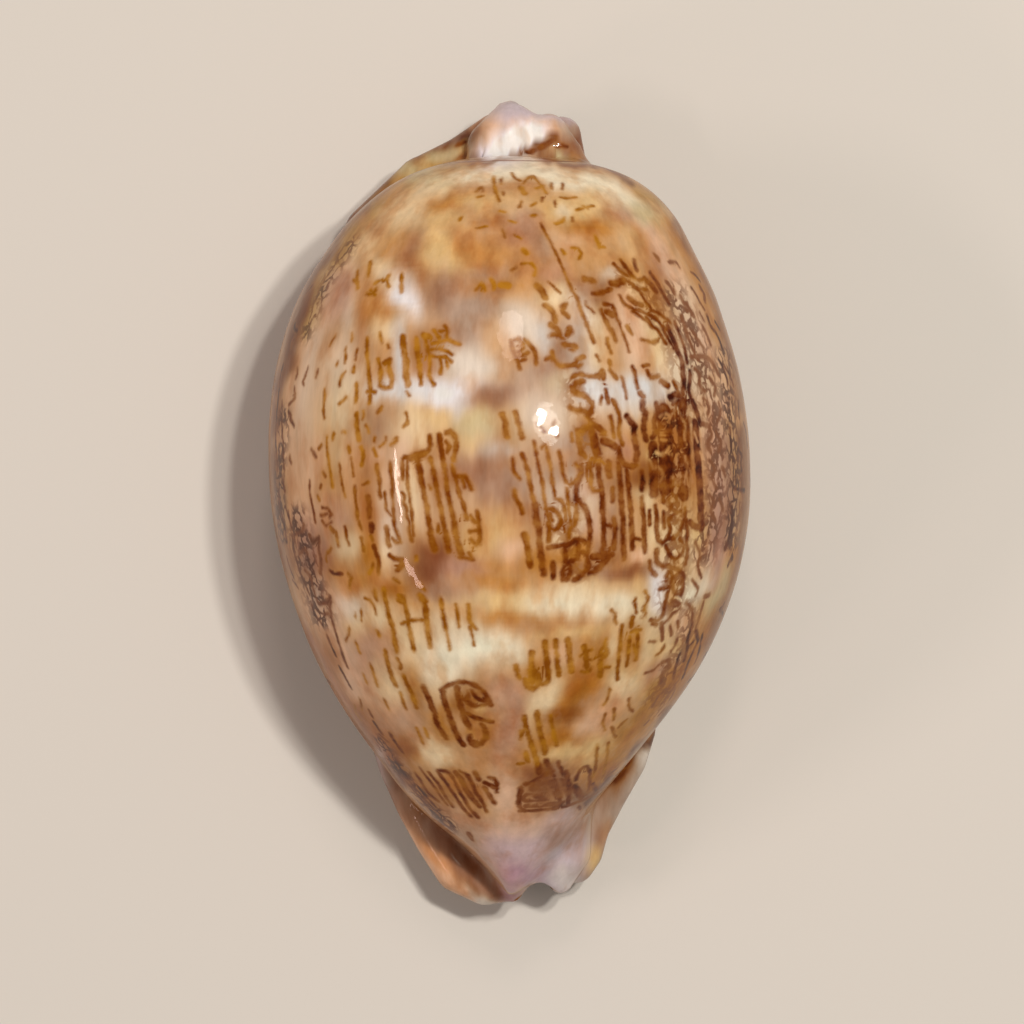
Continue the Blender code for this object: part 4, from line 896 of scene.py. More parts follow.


# The brown marks, and last a group of painted shade: for each group its darkness and how far callus
# veils it (both 0 to 1), then for each mark its width and the places x, y along it.
marks = {
    "spire end": (0.1, 0.05, (
        (0.3, -13.2, 20.3, -13.3, 19.4, -13.2, 18.8), (0.25, -13.6, 19.5, -13.2, 19.3),
        (0.28, -12.1, 21.1, -12.2, 20.5, -12.3, 19.9),
        (0.28, -11.7, 19.2, -11.2, 19.5, -10.9, 19.4, -10.5, 19.9), (0.22, -10.7, 19.6, -10.5, 18.9),
        (0.28, -9.4, 20, -9.4, 19.2, -9.4, 18.5), (0.3, -12.4, 18.3, -11.9, 18.3, -11.6, 18.7),
        (0.25, -12.1, 18.6, -11.7, 18.2), (0.22, -2.9, 27.2, -2.5, 27.6, -2.3, 27.3),
        (0.2, -2.8, 26.7, -2.3, 26.8), (0.22, -1.4, 28.5, -1.3, 27.7, -1.1, 26.9, -0.9, 26.4),
        (0.2, 0.2, 28.8, 0.5, 28.3, 1, 28.1), (0.45, 1, 27.6, 1.3, 27),
        (0.22, 1.2, 27.9, 1.6, 28.4, 2, 28.6, 2.5, 28, 2.9, 27.6, 3.2, 27), (0.3, 2.4, 27.5, 2.9, 27.7),
        (0.2, -4.35, 24.7, -4.2, 24.9), (0.2, -0.8, 25.5, -0.4, 25.4),
        (0.2, 4.4, 26.7, 5, 26.6, 5.8, 26.7), (0.22, 5.8, 25.6, 6.6, 25.8, 7.3, 25.95),
        (0.25, 6.4, 25.95, 6.8, 25.7), (0.2, 1.9, 26, 2.3, 26.2), (0.25, 1.9, 25.1, 2.3, 25.15),
        (0.15, -0.1, 24.7, 0.5, 24.5), (0.2, 4, 24.4, 4.5, 24.5, 4.8, 24.9), (0.4, 1.2, 22.1, 1.5, 21.8),
        (0.25, 4.6, 22.1, 4.8, 21.8), (0.2, 5.4, 22.3, 6, 22.2, 6.3, 21.6, 6, 21.4),
        (0.25, 7.4, 23.4, 7.7, 22.8, 7.8, 22.3, 8.2, 22.4),
        (0.2, 1.1, 20.9, 1.9, 20.95, 2.3, 20.3, 2.2, 19.9), (0.25, -2.9, 18.7, -2.4, 19.2, -2.1, 18.6),
        (0.28, -1.6, 19.6, -1.3, 19, -1.4, 18.8), (0.6, -0.7, 19.1, -0.2, 19), (0.15, -2.8, 24, -2, 24.2),
        (0.15, 0.4, 23.4, 1, 23.1),
    )),
    "mantle line": (0.35, 0.1, (
        (0.16, 2.7, 24.4, 3.3, 23.3, 4, 21.9, 4.6, 20.6, 5.1, 19.4, 5.6, 18.3),
        (0.3, 5.5, 18.5, 5.9, 17.9, 6.1, 17.2, 6.5, 16.2, 6.9, 15.2, 7.3, 14.1),
        (0.15, 3.4, 19.3, 3.9, 18.9, 4.4, 18.4), (0.22, 7.6, 12.9, 7.8, 12.5),
    )),
    "upper right": (0.5, 0.0, (
        (0.55, 6.6, 19.6, 7.3, 19.4), (0.35, 7.3, 18.3, 8, 18.35, 8.8, 18.75),
        (0.3, 9.1, 20.9, 9.5, 20.4, 9.9, 20.1, 10.2, 19.9),
        (0.32, 9.7, 21.2, 10.2, 20.5, 10.7, 19.8, 11.2, 19.5, 11.8, 19.6),
        (0.6, 8.9, 19.2, 9.4, 19.15, 10, 19.5), (0.28, 10.1, 19.5, 10.7, 19.1, 11.4, 18.7, 11.9, 18.7),
        (0.5, 11.8, 19.6, 12.3, 19.1, 12.7, 18.6), (0.3, 10.8, 18.9, 11.4, 18.5, 11.5, 18.2),
        (0.25, 11.4, 18.4, 11.9, 17.5, 12.4, 16.9), (0.3, 9.6, 18.1, 10, 17.4, 10.5, 17.1, 11, 16.8),
        (0.5, 10.4, 17.9, 11, 17.5, 11.5, 17.3), (0.35, 8.3, 17.4, 9, 17.3, 9.2, 16.6, 9.4, 16),
        (0.38, 8, 16.9, 8.3, 16.2, 8.6, 15.5, 9, 14.9, 9.2, 14.2), (0.6, 8.4, 16.7, 9, 16.5),
        (0.32, 10.7, 16.8, 11.5, 16.3, 12.2, 15.7, 12.9, 15.1, 13.4, 14.3, 13.6, 14),
        (0.36, 11.3, 16.9, 12, 16.5, 12.7, 16.2, 13.3, 15.5, 14, 15),
        (0.3, 12.2, 16.9, 12.8, 16.7, 13.4, 16.3, 14, 15.8), (0.45, 11.9, 16.2, 12.4, 15.5),
        (0.22, 11.5, 14.3, 12, 14.2, 12.6, 14, 13, 14.3), (0.3, 12.5, 14.1, 12.9, 14.2),
        (0.22, 11.6, 12, 12.1, 12.1), (0.32, 12, 11.6, 12.3, 11, 13, 11.1),
        (0.28, 10.7, 11.9, 10.9, 11.6, 11, 10.8, 11.2, 10.1), (0.28, 9.8, 11, 10, 10.2, 10.2, 9.2),
        (0.5, 11.4, 9.6, 11.6, 9.4), (0.5, 13.2, 10.7, 13.8, 10.3),
        (0.3, 14.3, 10.6, 14.6, 9.9, 14.9, 9.4), (0.34, 8.4, 9.9, 8.5, 9.3, 8.6, 8.8),
        (0.22, 9.5, 15.9, 9.8, 15, 10.1, 14.3, 10.4, 13.3),
    )),
    "right sweep": (0.75, 0.0, (
        (0.34, 12.3, 20.1, 12.7, 19.5, 13.1, 18.8, 13.5, 18.1, 13.9, 17.5),
        (0.5, 13.8, 15.4, 14.1, 14.6, 14.4, 13.9, 14.7, 13.2, 15, 12.5, 15.1, 11.5, 15.2, 10.6, 15.1,
         9.6),
        (0.36, 14.4, 15.8, 14.7, 15, 15.1, 14, 15.3, 13.2, 15.5, 12.3),
        (0.3, 13.4, 15.2, 13.8, 14.4, 14.3, 13.6), (0.4, 15.7, 11.6, 15.7, 10.8, 15.6, 10, 15.8, 9.2),
        (0.5, 14, 9.3, 14.6, 9.6, 15.2, 9),
    )),
    "blob column": (0.35, 0.1, (
        (0.5, 2.4, 19, 2.8, 18.6, 3.1, 18), (0.42, 3.1, 17.3, 3.5, 17, 3.9, 16.4, 4, 15.8),
        (0.32, 4.9, 17.4, 4.5, 17.1, 4.7, 16.6, 5.1, 16.3), (0.45, 3.6, 15.6, 4.1, 15.3, 4.4, 14.7),
        (0.3, 3.5, 14.6, 4, 14.8, 4.7, 14.4), (0.42, 5.2, 15.3, 5.4, 15, 5, 14.7),
        (0.5, 4.8, 13.9, 5.3, 13.8, 5.7, 13.7), (0.3, 5.3, 13.5, 5.6, 13.4),
        (0.34, 3.2, 12.6, 3.7, 12.8, 4, 12.4, 4.3, 12, 5, 12, 5.7, 12.1, 6, 12.7, 6.4, 12.8),
        (0.28, 3.7, 13.3, 3.8, 12.8), (0.3, 5.9, 11.9, 6.2, 12.2),
        (0.36, 5.4, 11, 6, 11.3, 7, 11.1, 7.8, 11.2, 8.1, 11.6, 8.2, 10.9),
        (0.45, 5.5, 9.9, 5.8, 10.6, 6.4, 10.7), (0.42, 5.4, 10.2, 5.9, 9.6, 6.4, 9.5, 6.8, 9.2, 7.2, 8.6),
        (0.45, 7.2, 8.8, 7.1, 8, 6.8, 7.6), (0.36, 5.3, 8.4, 6, 8.1, 6.6, 8.1, 6.9, 7.5, 7.2, 7),
        (0.42, 7.2, 7, 6.8, 6.6, 6.2, 6.3, 5.9, 6.4, 6, 5.6, 6.2, 4.7, 6.6, 4.1),
        (0.5, 7.1, 6.8, 7.2, 5.8, 7.4, 4.9, 7.6, 4.2), (0.45, 7.2, 7, 7.8, 6.6, 8.2, 6.2),
        (0.3, 0.2, 14.2, 0.3, 13.4, 0.7, 12.6, 0.9, 11.8),
        (0.28, 0.3, 14.2, 0.8, 14.4, 1.2, 14, 1.1, 13.4, 0.7, 13.2),
        (0.3, 1.3, 14.3, 2, 13.6, 2.3, 12.9, 2.3, 12.2), (0.3, 0.7, 12.9, 1.2, 13, 1.6, 13.2),
        (0.24, 0.9, 12.4, 1.4, 12.6), (0.42, -0.6, 7.8, -0.4, 7.2, -0.3, 6.4, -0.2, 5.9),
        (0.38, 0.5, 8, 0.7, 7.3, 0.9, 6.5, 1.1, 5.8),
        (0.34, 9, 9, 9.4, 8.2, 9.6, 7.2, 9.5, 6.2, 9.8, 5.2), (0.3, 8.8, 7.6, 9, 6.6, 9.1, 5.8),
    )),
    "upper left bars": (0.15, 0.05, (
        (0.32, -12.4, 14.4, -12.4, 13, -12.3, 12, -12.2, 10.8, -12.1, 9.8, -12.2, 8.8),
        (0.3, -12.3, 9.8, -11.7, 9.7),
        (0.34, -11.4, 12.6, -11.2, 11.5, -11.3, 10.3, -10.8, 10.1, -10.3, 10.2),
        (0.42, -10.9, 12.3, -10.5, 12.5, -10.5, 11.8, -10.2, 11, -10.3, 10.3),
        (0.22, -10.6, 13.9, -10.5, 13.6), (0.52, -9.3, 14.5, -9.2, 13.6, -9, 12.4, -9, 11.4, -8.8, 10.4),
        (0.36, -8.1, 14.4, -8, 13, -7.8, 11.8, -7.7, 10.5),
        (0.3, -7.4, 14.6, -7.1, 13.5, -6.9, 12.2, -7, 11.2, -6.6, 10.4), (0.45, -7.5, 14.7, -6.9, 14.5),
        (0.28, -6.6, 15.1, -6.2, 14.6, -6, 14.1), (0.28, -5.6, 15.5, -5.4, 14.9, -5.5, 14.4, -5, 14.1),
        (0.28, -6.8, 14, -6, 14.1, -5.4, 14.3, -4.8, 14, -4.4, 13.9),
        (0.26, -6.9, 13.4, -6.3, 13.5, -5.4, 13.3, -5, 13),
        (0.26, -7, 12.9, -6.3, 12.8, -5.6, 12.8, -5.1, 12.4), (0.22, -6.1, 12.8, -5.9, 12, -6, 11.4),
        (0.22, -5.5, 12.6, -5.4, 11.9), (0.25, -6.1, 15, -5.6, 15.1), (0.25, -13.5, 12, -13.6, 11.5),
        (0.32, -13.3, 10.4, -13.3, 9.7, -13.4, 8.9), (0.22, -14.8, 8.7, -14.2, 9.3),
        (0.22, -16.1, 10, -16.1, 9, -16.2, 8.2, -16.1, 7.5), (0.28, -15.3, 6.1, -15.4, 5.7),
        (0.25, -15.9, 5.8, -15.9, 4.8, -15.7, 3.6, -15.5, 2.2, -15.4, 1.5),
        (0.4, -13.3, 7.8, -13.3, 6.8, -13.1, 5.6), (0.22, -14.5, 6.3, -14.3, 6.2),
        (0.25, -14, 5, -13.9, 4.5), (0.32, -12.9, 4.9, -12.7, 4.2, -12.9, 3.4),
        (0.22, -11.8, 4.8, -11.6, 4.2),
    )),
    "left of the crown": (0.4, 0.0, (
        (0.6, -8.6, 4, -8, 4.2, -7.4, 4.4),
        (0.34, -9.2, 4, -8.4, 4.1, -7.6, 4.3, -7, 4.7, -6.9, 5.3, -6.95, 5.9),
        (0.32, -9.3, 3.9, -9.3, 3, -9.3, 2.2),
        (0.24, -8.9, 3.8, -8.9, 2, -8.7, 0.6, -8.5, -1, -8.4, -2.7),
        (0.26, -9.4, 1, -9.1, 0.7, -9.2, 0.1, -8.9, -0.4, -9, -1, -8.7, -1.6, -8.7, -2.4, -8.5, -3.2),
        (0.5, -7.9, 3.4, -7.7, 2.2, -7.5, 1.4),
        (0.4, -8, 4, -7.7, 2.4, -7.4, 0.6, -7.2, -0.2, -7.1, -1.2, -6.9, -2.2, -6.7, -3.2, -6.5, -3.9),
        (0.55, -6.9, -2.6, -6.7, -3.3, -6.5, -3.9),
        (0.36, -6.9, 4, -6.7, 3.2, -6.5, 2.2, -6.3, 1.2, -6.1, 0.2, -5.9, -0.8, -5.7, -1.8, -5.5, -2.8,
         -5.3, -4),
        (0.48, -5.5, -2.9, -5.3, -4), (0.42, -6.1, 6, -6, 5, -5.8, 4, -5.7, 3.3),
        (0.34, -5.7, 3.3, -5.5, 2.2, -5.4, 1.2, -5.2, 0.2, -5, -0.8, -4.8, -1.6, -4.7, -2.5, -4.5, -3.4,
         -4.3, -4.4),
        (0.5, -4.8, -1.6, -4.7, -2.5), (0.5, -4.5, -3.4, -4.2, -4.4),
        (0.38, -5.5, 6.2, -5.2, 6.3, -4.8, 6, -4.6, 5.4, -4.7, 4.6, -4.9, 3.8),
        (0.28, -5.5, 5.4, -5.2, 5, -5.4, 4.5),
        (0.28, -5, 3.4, -4.8, 2.6, -4.6, 1.8, -4.4, 1, -4.1, 0.2, -3.9, -0.5, -3.7, -1.2),
        (0.4, -3.8, -0.9, -3.7, -1.2), (0.34, -4.7, 2.4, -4, 2.4, -3.6, 1.9, -3.3, 1.3),
        (0.25, -4.1, 2.3, -3.9, 1.5), (0.34, -2.8, -0.7, -2.7, -1.5, -2.6, -2.3, -2.6, -3.3, -2.9, -3.6),
        (0.28, -3.4, -1, -3, -1.6, -2.8, -1.6), (0.28, -3.4, -2.4, -2.8, -2.3),
        (0.28, -3.3, -3.1, -3, -3.5, -2.6, -3.5), (0.28, -4.3, -4.6, -3.8, -4.7, -3.3, -4.8),
        (0.28, -3.5, -4.3, -3.2, -4.8),
        (0.28, -10.4, 3.6, -10.3, 2.6, -10.2, 1.6, -10.2, 0.6, -10.1, -0.2, -10.1, -1.1),
        (0.26, -10.1, -1.1, -10, -2, -9.7, -2.8, -9.5, -3.3),
        (0.32, -11.6, 3.4, -11.5, 2.8, -11.3, 2, -11.3, 1.2, -11.2, 0.6),
        (0.2, -10.9, 1, -10.8, 0.2, -10.7, -0.5, -10.2, -1.1),
        (0.25, -13.5, 1.5, -13.4, 0.5, -13.3, -0.3, -13.2, -1.3), (0.25, -13.1, -1.5, -12.9, -2.2),
        (0.26, -14.3, -2, -14.2, -2.8, -14, -3.5), (0.25, -12.9, -3, -12.7, -4),
        (0.34, -11.8, -3.7, -11.6, -4.2, -11.4, -5, -11.4, -6),
        (0.4, -10.7, -2.1, -10.6, -2.8, -10.5, -3.6), (0.25, -10.2, -3, -9.9, -3.4, -9.5, -3.3),
        (0.36, -10.4, -4.5, -10, -4.8, -9.3, -4.9, -9.3, -5.4, -9.8, -5.8),
        (0.15, -14.8, 3.5, -14.6, 2, -14.3, 0.6), (0.15, -13.8, 4, -13.6, 2.5),
        (0.3, -15.1, -2.5, -14.9, -3.6), (0.22, -12.7, 1.7, -12.3, 1.9), (0.34, -15.6, -2, -15.3, -2.4),
    )),
    "dark dashes": (0.6, 0.05, (
        (0.44, -12.3, 0.6, -12.2, 0, -12.2, -1.1), (0.5, -12, -1.8, -12, -2.3),
        (0.26, -15.6, -5.8, -15.3, -6.1, -14.6, -6.05),
        (0.2, -16.3, -0.3, -15.8, -0.4, -15.5, -0.9, -15.7, -1.2), (0.22, -16.4, -1, -15.9, -0.9),
        (0.2, -16.3, -1.5, -16, -1.9, -15.5, -1.6),
        (0.18, -17.4, 2, -17.4, 1, -17.2, 0, -17, -0.9, -16.9, -1.6),
    )),
    "crown block": (0.38, 0.0, (
        (0.5, 1.3, -2.7, 1.5, -3.3, 1.6, -4, 1.7, -4.7, 1.8, -5.3),
        (0.34, 1.1, 4.3, 1.4, 3.6, 1.6, 2.8, 1.8, 1.8, 2, 0.8, 2.2, 0),
        (0.24, 0.3, 4, 0.3, 3.3, 0.5, 2.7, 0.9, 2.2), (0.34, 0.4, 1.2, 0.6, 0.5, 0.9, -0.1, 1.1, -0.8),
        (0.24, 2.1, 5.4, 2.3, 4.5, 2.5, 3.5, 2.7, 2.5, 2.9, 1.5, 3, 0.5, 3.2, -0.3, 3.4, -1.3, 3.6, -2.2),
        (0.25, 3.2, 5, 3.4, 4, 3.6, 3, 3.7, 2, 3.9, 1.2, 4, 0.5),
        (0.3, 4, 0.5, 4.6, 0.2, 4.8, -0.5, 4.9, -1.3),
        (0.28, 4.3, 4.5, 4.5, 3.8, 4.6, 2.9, 4.8, 2.2, 5.3, 1.6, 5.8, 2.1, 6.2, 2.6, 6.2, 3.1, 5.8, 3.5),
        (0.25, 5, 1.4, 5.1, 0.4, 5.2, -0.8, 5.4, -1.8),
        (0.34, 5.8, 0, 5.8, -1, 5.7, -1.8, 5.2, -2.2, 5.2, -3),
        (0.34, 3.2, -0.4, 3.8, -0.5, 4.3, -0.9, 4.5, -1.5, 4.3, -2.1, 3.8, -2.3, 3.4, -2),
        (0.28, 3.5, -0.8, 3.7, -1.4), (0.4, 3.4, -1.6, 3.5, -2.4, 3.4, -3.2),
        (0.3, 6, 5.9, 6.1, 5, 6.2, 4.4, 6.6, 4), (0.22, 2.8, 4.9, 3.2, 5.2),
        (0.34, 7.8, 3.8, 7.1, 3.9, 7, 3.2, 7.1, 2.5, 7.1, 1.6, 7.3, 1.1, 7.8, 1.2),
        (0.26, 7.8, 3.8, 8.3, 3.5),
    )),
    "crown block, darker": (0.6, 0.0, (
        (0.48, 2.2, 0, 2.3, -0.8, 2.4, -1.6, 2.6, -2.4, 2.6, -3.2, 2.7, -4, 2.8, -4.8, 2.9, -5.6, 3,
         -6.1),
        (0.4, 6.1, 3.3, 6.3, 2.6, 5.9, 1.9, 5.8, 1.2, 5.8, 0.4, 6.2, 0.1, 6.6, -0.4, 6.9, -1.2, 7, -2, 7,
         -2.8, 6.9, -3.5),
        (0.38, 3.4, -3.8, 4, -3.7, 4.6, -3.6, 5, -3.7, 5.4, -3.3, 6, -3.1, 6.6, -3.3),
        (0.36, 4.8, -3.8, 4.9, -4.6, 4.8, -5.4, 4.6, -6, 4.7, -6.6, 5.1, -6.5, 5.3, -6, 5.2, -5.3, 4.9,
         -5),
        (0.4, 3.8, -5.1, 3.8, -5.8, 3.8, -6.4), (0.36, 6, -3.3, 6, -4.1, 6, -4.8, 5.3, -5),
        (0.4, 6, -4.2, 6.6, -4.2, 6.8, -4.8, 6.9, -5.6, 6.5, -6, 6.1, -6.4, 5.6, -6.6),
        (0.38, 6.9, -3.6, 6.8, -4.4),
        (0.42, 7.8, 3.5, 7.8, 2.5, 8, 1.5, 8.1, 0.5, 8.1, -0.5, 8.2, -1.5, 8.2, -2.5, 8.2, -3.5, 8, -4.3,
         8.2, -5),
        (0.5, 8.6, 3.6, 8.6, 2.8, 8.7, 2.4), (0.36, 9, 1.3, 9, 0.3),
        (0.38, 9.1, -1.3, 9.2, -2.3, 9.1, -3.2, 9.1, -3.9), (0.3, 8.3, -1.8, 8.8, -2, 9.1, -1.8),
        (0.45, 7.4, 5.9, 7.6, 5, 7.8, 4.4),
        (0.42, 9.5, 3.5, 9.6, 2.5, 9.7, 1.5, 9.7, 0.5, 9.8, -0.5, 9.9, -1.5, 9.9, -2.5, 9.9, -3.5, 10,
         -4.8),
        (0.4, 10.2, 3, 10.3, 2, 10.4, 1, 10.5, 0, 10.6, -1, 10.6, -2, 10.7, -3, 10.7, -3.9),
        (0.4, 11.5, 0.5, 11.6, -0.5, 11.7, -1.5, 11.7, -2.6, 11.8, -4.1), (0.25, 10.8, -3, 11.6, -3.1),
        (0.6, 7.2, -4.6, 7.8, -4.6, 8.3, -4.4), (0.5, 7.6, -5.6, 8.2, -5.2, 8.6, -4.6, 8.9, -4.4),
        (0.4, 6.9, -6, 7.4, -5.9, 7.9, -5.6), (0.6, 8.2, 5.5, 8.9, 5.2, 9.2, 5),
        (0.4, 9.5, 4.9, 9.6, 4.2), (0.45, 9.6, 4, 10, 3.4, 10.6, 3.2, 11, 3.4),
    )),
    "darkest side": (0.75, 0.0, (
        (0.5, 10.2, 7.6, 10.6, 7.1, 10.9, 6.8, 10.8, 6, 11, 5.2, 11.1, 4.4, 11, 3.8),
        (0.5, 11.6, 9, 11.6, 8.3, 11.9, 7.9, 11.7, 7.2, 11.7, 6.4, 11.9, 5.6),
        (0.4, 11.5, 2.8, 11.6, 2, 11.5, 1.3), (0.45, 12.8, 8.7, 12.9, 8, 12.6, 7.1, 12.8, 6.3, 12.4, 5.8),
        (0.9, 12.5, 5, 12.6, 2.5, 12.6, 1), (1.5, 13.4, 8, 13.6, 5, 13.6, 1.5),
        (1.4, 15, 8.5, 15.2, 5, 15.2, 1), (0.8, 16.2, 7, 16.4, 4, 16.6, 1, 16.7, -2),
        (0.5, 15.9, 9, 16.3, 8, 16.6, 7),
    )),
    "right net": (0.55, 0.05, (
        (0.4, 12.7, -0.2, 12.8, -1, 12.8, -2, 12.9, -3), (0.34, 13.4, 0.8, 13.4, 0.2),
        (0.3, 13.4, -0.7, 13.5, -2),
        (0.34, 12.9, -3.2, 13.4, -3.4, 13.8, -3, 14, -2.2, 13.8, -1.4, 14.2, -1, 14.9, -0.6),
        (0.34, 13.8, -3, 14.4, -2.9, 14.9, -2.2, 15.2, -1.4, 15.3, -0.4),
        (0.4, 14, 0.3, 14.1, -0.4, 14.6, -0.7),
        (0.38, 12.8, -4, 12.8, -5, 13.3, -5.4, 14, -5.5, 14.8, -5.8, 15.2, -6.3, 15, -6.9),
        (0.36, 13.6, -3.6, 13.9, -4.4, 14.4, -4.8, 15, -4.4, 15.2, -3.6, 14.8, -3.1),
        (0.38, 15.4, -1.5, 15.5, -2.4, 15.4, -3.4, 15.5, -4.4, 15.3, -5.2),
        (0.55, 15.7, -1.6, 16.2, -2, 16.8, -1.9),
        (0.34, 13.6, -6.3, 14, -5.8, 14.2, -6.5, 14, -7.2, 13.5, -7.4, 13.1, -7.4),
        (0.36, 14.2, -7, 14.3, -7.6, 14.9, -7.9, 15.1, -7.2, 15.1, -6.4),
        (0.3, 12.2, -5, 12.3, -5.8, 12.8, -6.2),
        (0.34, 13.8, -7.6, 13.6, -8.3, 13.5, -9, 13.3, -9.8, 12.8, -10.2, 12.3, -10.1),
        (0.4, 12.5, -10.4, 12.8, -10.5), (0.3, 14.3, 2.4, 14.2, 1.2), (0.3, 12.2, -0.6, 12.2, -1.8),
    )),
    "right net, veiled": (0.5, 0.55, (
        (0.28, 14.1, -8.4, 14.7, -8.6, 14.8, -9.2, 14.2, -9.5, 13.8, -10.1, 13.4, -10.4),
        (0.38, 13.2, -10.4, 13.3, -11.2, 13.3, -11.8), (0.28, 14, -10.6, 14.1, -11.4),
        (0.26, 15.4, -8.6, 15.9, -9.2, 15.9, -10, 15.9, -10.8), (0.2, 13.6, -17.7, 13, -18.4),
        (0.28, 16.9, -8.5, 16.7, -9.3, 16.4, -10.2, 16.2, -10.9), (0.24, 11.8, -19.2, 12.1, -18.9),
        (0.36, 13.3, -13.8, 13.8, -13.6, 14, -14.2, 13.4, -14.6, 13.2, -15, 13.2, -15.6),
        (0.2, 11.8, -14.7, 12.5, -14.5, 13, -14), (0.2, 12.2, -12, 12.7, -12),
        (0.4, 17, -8.1, 17.4, -7.9), (0.25, 16.2, -3.4, 16.6, -4.4, 16.4, -5.4, 16.7, -6.4),
        (0.22, 15.9, -6.6, 16.4, -7.4, 16.2, -8), (0.22, 12.9, -16.8, 12.5, -17.6),
        (0.22, 14.4, -16.2, 14, -17),
    )),
    "right edge": (0.9, 0.1, (
        (0.32, 15.8, -10.8, 15.5, -11.8, 15.5, -12.7, 15.2, -13.6), (0.25, 16, -12, 15.6, -12.4),
        (0.32, 16.2, -11, 16.4, -11.9, 16.1, -12.6, 15.7, -13.5, 15.4, -14.3, 15.1, -15.1),
        (0.28, 16.8, -11.3, 16.6, -12.3, 16.4, -13.2, 16.1, -13.9),
        (0.32, 14.9, -12.9, 14.6, -13.6, 14.4, -14.5, 14.3, -15.2),
        (0.5, 19.3, -0.3, 19.4, -1.5, 19.2, -2.7, 18.8, -3.8), (0.2, 15.8, 20.2, 16.2, 19.9, 16.6, 19.4),
        (0.2, 15.8, 18.9, 16.2, 18.3, 16.6, 17.5, 17, 16.9), (0.42, 16.6, 18.9, 16.9, 18.4, 17, 17.7),
        (0.38, 17.2, 16.4, 17.5, 15.5, 17.9, 15, 18.3, 14.2, 18.5, 13.6),
        (0.34, 18.2, 12.6, 18.6, 11.9, 18.9, 11, 19, 10.5), (0.26, 18.7, 12, 19.2, 11.2, 19.5, 10.3),
        (0.26, 19.2, 6.5, 19.3, 5, 19.5, 4), (0.22, 19.9, 9, 20, 7.5),
        (0.22, 20.4, 7, 20.6, 6.2, 20.7, 5), (0.26, 19.6, 1.3, 20.5, 1.2), (0.25, 17.9, 15.9, 18.3, 15.2),
    )),
    "right margin, veiled": (0.7, 0.8, (
        (0.25, 13.9, 21, 14.5, 21.1, 14.8, 20.6), (0.36, 13.7, 19.3, 14.1, 18.8, 14.4, 18.3),
        (0.34, 14.9, 18.1, 15.2, 17.4, 15.5, 16.8), (0.45, 15.4, 17.4, 15.7, 16.9, 16, 16.4),
        (0.3, 14.9, 16.4, 15.3, 15.3, 15.6, 14.4, 16, 13.4, 16.4, 12.6),
        (0.3, 16.8, 15.5, 17.2, 14.7, 17.5, 13.9),
        (0.36, 15.8, 12.8, 16.8, 12.9, 17.4, 12.6, 17.9, 11.9, 18.2, 11.2),
        (0.28, 16, 14.9, 16.4, 14.3, 16.9, 13.6),
        (0.36, 16.8, 7, 17.3, 6.8, 17.6, 6, 17.2, 5.2, 17.5, 4.6),
        (0.28, 16.1, 11.8, 16.6, 11.2, 16.5, 10.4, 17, 9.8), (0.28, 17.4, 11, 17.9, 10.2, 17.8, 9.4),
        (0.26, 16.9, 9.2, 17.4, 8.6, 17.2, 7.8), (0.26, 18.2, 8.8, 18.4, 8, 18.1, 7.2),
        (0.26, 18, 6.2, 18.4, 5.4, 18.2, 4.6), (0.26, 17.4, 3.8, 17.9, 3, 17.6, 2.2, 18, 1.4),
        (0.24, 18.5, 3.2, 18.8, 2.4), (0.24, 17.4, 0.8, 17.8, 0.2, 17.5, -0.6, 17.9, -1.4),
        (0.22, 18.3, 0.4, 18.6, -0.6), (0.28, 16.6, 16.6, 16.9, 16),
    )),
    "left edge": (0.85, 0.15, (
        (0.32, -19.7, 12.1, -19.9, 11.4, -20, 10.5, -20.1, 9.5, -20.2, 8.5, -20.3, 7.5, -20.35, 6.6,
         -20.35, 5.5, -20.3, 4.5, -20.2, 3),
        (0.2, -19.8, 9, -19.8, 8, -19.8, 6.5, -19.7, 5.2, -19.7, 4, -19.6, 3),
        (0.2, -17.2, 19, -17.7, 18.3), (0.42, -20.1, 1, -20, 0, -19.8, -1, -19.6, -2, -19.4, -3.2),
        (0.26, -19.5, -0.3, -19.2, -1.2, -19, -1.9), (0.28, -19.4, -4.6, -19.1, -5.6, -18.8, -6.4),
        (0.2, -18.9, -6.6, -18.4, -7.3), (0.28, -17.6, -7.5, -17.4, -7.9),
        (0.28, -17.2, -8.8, -17, -9.6, -16.6, -10.1, -16.3, -10.5),
        (0.25, -15.9, -11.4, -15.5, -12.4, -15.1, -13.2), (0.26, -14.8, -14.2, -14.3, -15.1, -13.8, -16),
    )),
    "left margin, veiled": (0.8, 0.5, (
        (0.3, -18.9, -2.8, -18.8, -4, -18.5, -5, -18.2, -6, -17.8, -6.9),
        (0.22, -18.8, -2.7, -18.1, -2.4, -17.9, -1.8),
        (0.3, -17.4, -2.7, -17.1, -3.4, -16.6, -2.9, -16.6, -4, -16.4, -5, -16.5, -6),
        (0.22, -18.3, -4.4, -17.8, -3.9, -17.6, -4.3),
        (0.28, -17.8, -5.8, -17.3, -6.3, -17.2, -7, -16.9, -8, -16.6, -8.7),
        (0.28, -16.6, -8.7, -15.8, -8.6, -15.6, -8.1), (0.2, -16.8, -9.2, -16.2, -9.6, -15.7, -9.5),
        (0.28, -15.6, -8.4, -15.6, -9.2, -15.4, -10.3, -15.1, -11.3, -14.8, -12.3, -14.4, -13.5, -14.1,
         -14.2),
    )),
    "lower left": (0.2, 0.0, (
        (0.4, -10.9, -7.4, -10.8, -8.3, -10.6, -9.2, -10.4, -10.1, -10.1, -11, -10, -12, -9.8, -12.9),
        (0.36, -9.6, -8, -9.2, -8.1, -9.1, -8.6, -8.9, -9.6, -8.8, -10.4, -8.6, -11.4, -8.3, -12.8),
        (0.42, -9.6, -8.4, -9.2, -8.6), (0.24, -9.4, -10.4, -8.8, -10.2, -8, -10.1, -7.3, -10.1),
